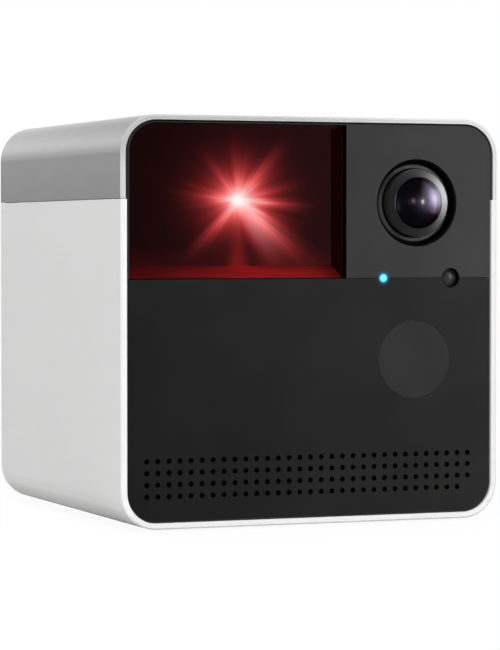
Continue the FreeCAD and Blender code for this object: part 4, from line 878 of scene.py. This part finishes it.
materials = {
    "satin_silver": sleeve_metal(),
    "white_shell": sleeve_plastic(),
    # top and low colours: one plastic, with painted light at the top
    "panel_grey": panel_plastic(
        "panel_grey",
        top_colour=(0.053, 0.053, 0.0535),
        low_colour=(0.051, 0.051, 0.051),
        specular=0.12,
    ),
    "panel_black": panel_plastic(
        "panel_black",
        top_colour=(0.0285, 0.0285, 0.0282),
        low_colour=(0.0235, 0.0235, 0.0230),
        specular=0.08,
    ),
    "smoked_window": window_glass(),
    "coated_glass": glass(
        "coated_glass",
        tint=(0.80, 0.80, 0.9),
        shine=(0.84, 0.69, 1.0),
        roughness=0.06,
        ior=1.6,
        glow=painted_lens_reflections,
    ),
    "filter_glass": glass("filter_glass", tint=(0.55, 0.8, 0.85), shine=(1.0, 0.6, 0.6)),
    "laser_glass": lit(
        "laser_glass",
        colour=(1.0, 0.9, 0.9),
        edge_colour=(1.0, 0.1, 0.1),
        strength=2.0,
        centre=laser_tip,
        radius=1.4 * MM,
    ),
    "cyan_light": lit(
        "cyan_light",
        colour=(0.27, 0.85, 1.0),
        edge_colour=(0.01, 0.24, 0.50),
        strength=1.0,
        centre=pipe_centre,
        radius=0.87 * MM,
    ),
    "chamber_black": chamber_walls(),
    "board_green": circuit_board(),
    "mesh_cloth": acoustic_cloth(),
    "hood_grey": hood_plastic(),
    "ring_metal": ring_metal(),
}

# colour, roughness and details of each plain finish
PLAIN_FINISHES = {
    "night_disc": ((0.0325, 0.0325, 0.0325), 0.42, dict(grain=0.3 * MM, specular=0.1, mottle=0.04)),
    "foot_rubber": (
        (0.035, 0.035, 0.036),
        0.75,
        dict(grain=0.5 * MM, grain_depth=0.03 * MM, specular=0.3),
    ),
    "brass_insert": ((0.78, 0.57, 0.22), 0.3, dict(grain=0.08 * MM, stretch=(8, 8, 1), metallic=1.0)),
    "black_plastic": ((0.010, 0.010, 0.010), 0.5, dict(specular=0.35)),
    "screw_steel": ((0.05, 0.05, 0.052), 0.35, dict(grain=0.1 * MM, metallic=0.9, mottle=0.12)),
    "motor_steel": ((0.5, 0.5, 0.5), 0.3, dict(grain=0.05 * MM, stretch=(10, 10, 1), metallic=1.0)),
    "gear_white": ((0.72, 0.71, 0.66), 0.38, dict(subsurface=0.1)),
    "laser_brass": ((0.72, 0.5, 0.2), 0.28, dict(grain=0.06 * MM, stretch=(1, 12, 1), metallic=1.0)),
    "chip_black": ((0.016, 0.016, 0.017), 0.55, dict(grain=0.12 * MM)),
    "led_glass": ((0.16, 0.16, 0.2), 0.12, dict(coat=0.5, grain_depth=0.001 * MM)),
    "sensor_grey": (
        (0.042, 0.042, 0.043),
        0.36,
        dict(grain=0.4 * MM, grain_depth=0.002 * MM, coat=0.3),
    ),
    "cone_paper": ((0.05, 0.05, 0.05), 0.85, dict(grain=0.4 * MM, grain_depth=0.05 * MM)),
    "surround_rubber": ((0.025, 0.025, 0.025), 0.6, dict(specular=0.4)),
    "basket_steel": ((0.08, 0.08, 0.08), 0.45, dict(metallic=0.7)),
    "magnet_dark": ((0.12, 0.12, 0.13), 0.35, dict(metallic=0.9, mottle=0.15)),
    "heat_sink_black": (
        (0.05, 0.05, 0.055),
        0.42,
        dict(metallic=0.8, stretch=(1, 1, 12), grain=0.06 * MM),
    ),
    "shield_tin": ((0.6, 0.6, 0.58), 0.33, dict(metallic=1.0, mottle=0.12)),
    "capacitor_sleeve": ((0.3, 0.3, 0.32), 0.3, dict(metallic=0.8)),
    "connector_cream": ((0.7, 0.66, 0.55), 0.45, dict()),
    "ribbon_white": (
        (0.72, 0.72, 0.7),
        0.3,
        dict(grain=0.12 * MM, stretch=(1, 40, 40), grain_depth=0.02 * MM),
    ),
    "antenna_amber": ((0.42, 0.22, 0.05), 0.25, dict(mottle=0.2, mottle_size=2 * MM)),
    "socket_steel": ((0.58, 0.58, 0.59), 0.27, dict(metallic=1.0, grain=0.08 * MM, stretch=(1, 10, 1))),
    "button_black": ((0.02, 0.02, 0.02), 0.4, dict(specular=0.25)),
}
for slot_name, (slot_colour, slot_roughness, details) in PLAIN_FINISHES.items():
    materials[slot_name] = surface(slot_name, slot_colour, slot_roughness, **details)

for cad_part in frame["nodes"].values():
    for entry in cad_part.material_slots:
        entry.material = materials[entry.material.name.split(".")[0]]


# Mesh helpers

join_distance = 0.001 * MM
lathe_steps = 96


def mesh_object(name, verts, faces, material):
    mesh = bpy.data.meshes.new(name)
    mesh.from_pydata([tuple(vert) for vert in verts], [], faces)
    mesh.materials.append(material)
    piece = bpy.data.objects.new(name, mesh)
    bpy.context.scene.collection.objects.link(piece)
    return piece


def mesh_piece(name, verts, faces, material, body="housing"):
    """A smooth piece of the object on a body. Points that coincide are joined."""
    piece = mesh_object(name, verts, faces, material)
    shape = bmesh.new()
    shape.from_mesh(piece.data)
    bmesh.ops.remove_doubles(shape, verts=shape.verts, dist=join_distance)
    shape.to_mesh(piece.data)
    shape.free()
    piece.data.shade_smooth()
    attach(piece, body)
    return piece


def lathe(name, profile, centre, material, closed=True):
    """A piece turned about the axis along Y through a centre, from (radius, y) points."""
    count = len(profile)
    verts = []
    for n in range(lathe_steps):
        angle = 2 * math.pi * n / lathe_steps
        across, up = math.cos(angle), math.sin(angle)
        for radius, y in profile:
            verts.append((centre.x + radius * across, y, centre.z + radius * up))
    faces = []
    for n in range(lathe_steps):
        a, b = n * count, (n + 1) % lathe_steps * count
        for i in range(count if closed else count - 1):
            j = (i + 1) % count
            faces.append((a + i, b + i, b + j, a + j))
    return mesh_piece(name, verts, faces, material)


# The painted glow: part of a ball about the laser's pivot, so that it turns in its own place

nose_radius = (nose_high.z - nose_low.z) / 2
glow_gap = 0.11 * MM
glow_margin = 0.4 * MM
glow_radius = math.hypot(laser_pivot.y - nose_low.y, nose_radius) + glow_gap
glow_spread = math.asin((nose_radius + glow_margin) / glow_radius)
glow_rings = 8
glow_steps = 48


def laser_glow():
    verts = [laser_pivot + Vector((0, -glow_radius, 0))]
    for ring in range(1, glow_rings + 1):
        tilt = glow_spread * ring / glow_rings
        for n in range(glow_steps):
            turn = 2 * math.pi * n / glow_steps
            out = math.sin(tilt)
            away = Vector((out * math.cos(turn), -math.cos(tilt), out * math.sin(turn)))
            verts.append(laser_pivot + glow_radius * away)
    faces = [(0, 1 + n, 1 + (n + 1) % glow_steps) for n in range(glow_steps)]
    for ring in range(glow_rings - 1):
        a, b = 1 + ring * glow_steps, 1 + (ring + 1) * glow_steps
        for n in range(glow_steps):
            m = (n + 1) % glow_steps
            faces.append((a + n, b + n, b + m, a + m))
    glow = mesh_piece("laser_glow", verts, faces, glow_light(), "laser_head")
    glow.visible_shadow = False


laser_glow()


# The status light's painted halo, just off the panel

halo_inner = (pipe_high.x - pipe_low.x) / 2
halo_outer = 1.75 * MM
halo_lift = 0.03 * MM
halo_rings = 6
halo_colour = (0.006, 0.11, 0.22)


def status_halo():
    step = (halo_outer - halo_inner) / halo_rings
    profile = [(halo_inner + step * n, panel_low.y - halo_lift) for n in range(halo_rings + 1)]
    finish = halo_light("status_halo", halo_colour, pipe_centre, halo_inner, halo_outer)
    halo = lathe("status_halo", profile, pipe_centre, finish, closed=False)
    halo.visible_shadow = False


status_halo()


# The light sensor's shallow window, in front of its small dome

sensor_window_radius = 1.9 * MM
sensor_window_apex = sensor_low.y - 0.2 * MM
sensor_window_crown = 0.45 * MM
sensor_window_thickness = 0.12 * MM
sensor_window_steps = 8


def sensor_window():
    """A domed disc that fills the sensor's hole."""
    face = []
    for n in range(sensor_window_steps + 1):
        share = n / sensor_window_steps
        depth = sensor_window_crown * share ** 2
        face.append((sensor_window_radius * share, sensor_window_apex + depth))
    back = [(radius, y + sensor_window_thickness) for radius, y in reversed(face)]
    finish = materials["sensor_grey"]
    lathe("light_sensor_window", face + back, sensor_centre, finish)


sensor_window()


# The reset button's rubber sleeve

rubber_top_radius = 2.5 * MM
rubber_wall = 0.5 * MM
rubber_steps = 12


def button_rubber():
    """A thin waisted sleeve in the place of its plain cone."""
    base_radius = (rubber_high.x - rubber_low.x) / 2
    height = rubber_high.y - rubber_low.y
    outer = []
    for n in range(rubber_steps + 1):
        share = n / rubber_steps
        flare = (base_radius - rubber_top_radius) * (1 + math.cos(math.pi * share)) / 2
        outer.append((rubber_top_radius + flare, rubber_low.y + height * share))
    inner = [(radius - rubber_wall, y) for radius, y in reversed(outer)]
    finish = materials["surround_rubber"]
    piece = lathe("button_rubber", outer + inner, rubber_centre, finish)
    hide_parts("button_sleeve")
    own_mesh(piece)


button_rubber()


# Studio: brightness of the room, where 1 is white

room_level = 0.50
room_right_level = 0.72
room_right_start = 0.7
room_right_full = 0.95
room_back_fade = (-0.25, 0.25)
mirror_back_level = 1.0
mirror_front_level = 0.03


def direct_light(tree, back_share):
    """How bright the white room is for rays from the camera, from mirrors and through glass.

    The camera sees plain white. A mirror sees white behind the object and a dark room before it.
    """
    path = add(tree, "LightPath")
    camera_ray = path.outputs["Is Camera Ray"]
    other = maths(tree, "ADD", path.outputs["Is Glossy Ray"], path.outputs["Is Transmission Ray"])
    direct = maths(tree, "ADD", camera_ray, other, clamp=True)
    mirrored = fade(tree, back_share, 0.0, 1.0, mirror_front_level, mirror_back_level)
    return direct, maths(tree, "MAXIMUM", camera_ray, mirrored)


def studio_world():
    world = bpy.data.worlds.new("studio")
    bpy.context.scene.world = world
    world.use_nodes = True
    tree = world.node_tree
    tree.nodes.clear()
    x, y, _ = split(tree, add(tree, "TexCoord").outputs["Generated"])
    direct, level = direct_light(tree, fade(tree, y, *room_back_fade))
    room = fade(tree, x, room_right_start, room_right_full, room_level, room_right_level)
    background = add(tree, "Background", {"Color": mixed(tree, direct, room, level)}).outputs[0]
    add(tree, "OutputWorld", {"Surface": background})


# The pale floor

floor_half = 3.0
floor_front = 0.45
floor_grey = (0.60, 0.60, 0.60)
floor_pale = (0.62, 0.62, 0.62)
floor_strip = (0.82, 0.82, 0.82)
floor_strip_y = panel_low.y - 6 * MM
floor_strip_fade = (14 * MM, 5 * MM)
floor_mirror_fade = (-80 * MM, 30 * MM)
floor_glow = 0.95
floor_shade = 0.05


def floor_plain(tree, y):
    """The floor as it lights the object: grey, with a paler strip before the front."""
    colour = mixed(tree, noise(tree, 80 * MM), floor_grey, floor_pale)
    strip = fade(tree, distance(tree, y, floor_strip_y), *floor_strip_fade)
    colour = mixed(tree, strip, colour, floor_strip)
    return add(tree, "BsdfDiffuse", {"Color": colour}).outputs[0]


def floor_white(tree, level):
    """The floor as it is seen: nearly all glow, with a trace of shadow."""
    lift = emission(tree, WHITE, product(tree, level, floor_glow))
    shade = add(tree, "BsdfDiffuse", {"Color": product(tree, level, floor_shade)}).outputs[0]
    return add(tree, "AddShader", {0: lift, 1: shade}).outputs[0]


def studio_floor():
    material, tree = blank_material("studio_floor")
    _, y, _ = split(tree, object_point(tree))
    direct, level = direct_light(tree, fade(tree, y, *floor_mirror_fade))
    both = {"Fac": direct, 1: floor_plain(tree, y), 2: floor_white(tree, level)}
    finish_output(tree, add(tree, "MixShader", both).outputs[0])
    corners = (
        (-floor_half, -floor_front, 0),
        (floor_half, -floor_front, 0),
        (floor_half, floor_half, 0),
        (-floor_half, floor_half, 0),
    )
    piece = mesh_object("studio_floor", corners, [(0, 1, 2, 3)], material)


# Soft lamps and cards

lamp_aim = Vector((0.0, 0.0, 0.04))
card_margin = 0.15


def soft_lamp(name, place, size, radiance, mirrored):
    """A square lamp that faces the object. Radiance is how bright its face is, where 1 is white."""
    data = bpy.data.lights.new(name, "AREA")
    data.shape = "RECTANGLE"
    data.size, data.size_y = size, size
    data.energy = radiance * math.pi * size * size
    lamp = bpy.data.objects.new(name, data)
    lamp.location = place
    lamp.rotation_euler = (lamp_aim - Vector(place)).to_track_quat("-Z", "Y").to_euler()
    lamp.visible_camera = False
    lamp.visible_glossy = mirrored
    lamp.visible_transmission = mirrored
    bpy.context.scene.collection.objects.link(lamp)


def card_glow(tree, across, up, patches):
    """Soft patches of light that end before the card's sides and top."""
    total = 0.0
    for strength, middle, reach in patches:
        patch = soft_spot(tree, (across, up), middle, reach)
        total = maths(tree, "ADD", total, product(tree, patch, strength))
    left = fade(tree, across, 0.0, card_margin)
    right = fade(tree, across, 1.0, 1.0 - card_margin)
    top = fade(tree, up, 1.0, 1.0 - card_margin)
    return product(tree, total, left, right, top)


def soft_card(name, middle, heading, half_width, low, high, patches):
    """An upright card lit by soft patches, which the camera doesn't see."""
    material, tree = blank_material(name)
    across, _, up = split(tree, add(tree, "TexCoord").outputs["Generated"])
    finish_output(tree, emission(tree, WHITE, card_glow(tree, across, up, patches)))
    corners = (
        (-half_width, 0, low),
        (half_width, 0, low),
        (half_width, 0, high),
        (-half_width, 0, high),
    )
    piece = mesh_object(name, corners, [(0, 1, 2, 3)], material)
    piece.location = middle
    piece.rotation_euler = (0.0, 0.0, heading)
    piece.visible_camera = False


# strength, middle and reach of each patch, across and up as shares of its card
CARD_RIGHT = (
    (9.0, (0.64, 0.36), (0.17, 0.20)),
    (2.3, (0.50, 0.46), (0.26, 0.30)),
)
CARD_BEHIND = ((4.15, (0.5, 0.30), (0.7, 0.20)),)
card_right_away = 0.36
card_right_turn = math.radians(43.0)
card_right_place = (
    lens_centre.x + card_right_away * math.sin(card_right_turn),
    lens_centre.y - card_right_away * math.cos(card_right_turn),
    0.0,
)
card_behind_place = (-0.15, 1.15, 0.0)

studio_floor()
studio_world()
soft_card(
    "card_right",
    card_right_place,
    heading=card_right_turn,
    half_width=0.11,
    low=0.002,
    high=0.27,
    patches=CARD_RIGHT,
)
soft_card(
    "card_behind",
    card_behind_place,
    heading=0.0,
    half_width=0.75,
    low=0.01,
    high=1.1,
    patches=CARD_BEHIND,
)
soft_lamp("key_above", (-0.45, -1.0, 1.05), size=0.5, radiance=16.0, mirrored=False)
soft_lamp("box_top", (0.25, 0.1, 1.5), size=0.9, radiance=0.7, mirrored=True)


# Camera, at the photograph's place

camera_data = bpy.data.cameras.new("camera")
camera_data.lens = camera_lens
camera_data.sensor_width = 36.0
camera_data.sensor_fit = "AUTO"
camera_data.clip_start = 0.01
camera_data.clip_end = 50.0
camera = bpy.data.objects.new("camera", camera_data)
camera.location = camera_place
camera.rotation_euler = (math.pi / 2 + camera_pitch, 0.0, camera_yaw)
bpy.context.scene.collection.objects.link(camera)
bpy.context.scene.camera = camera
bpy.context.scene.view_settings.view_transform = "Standard"
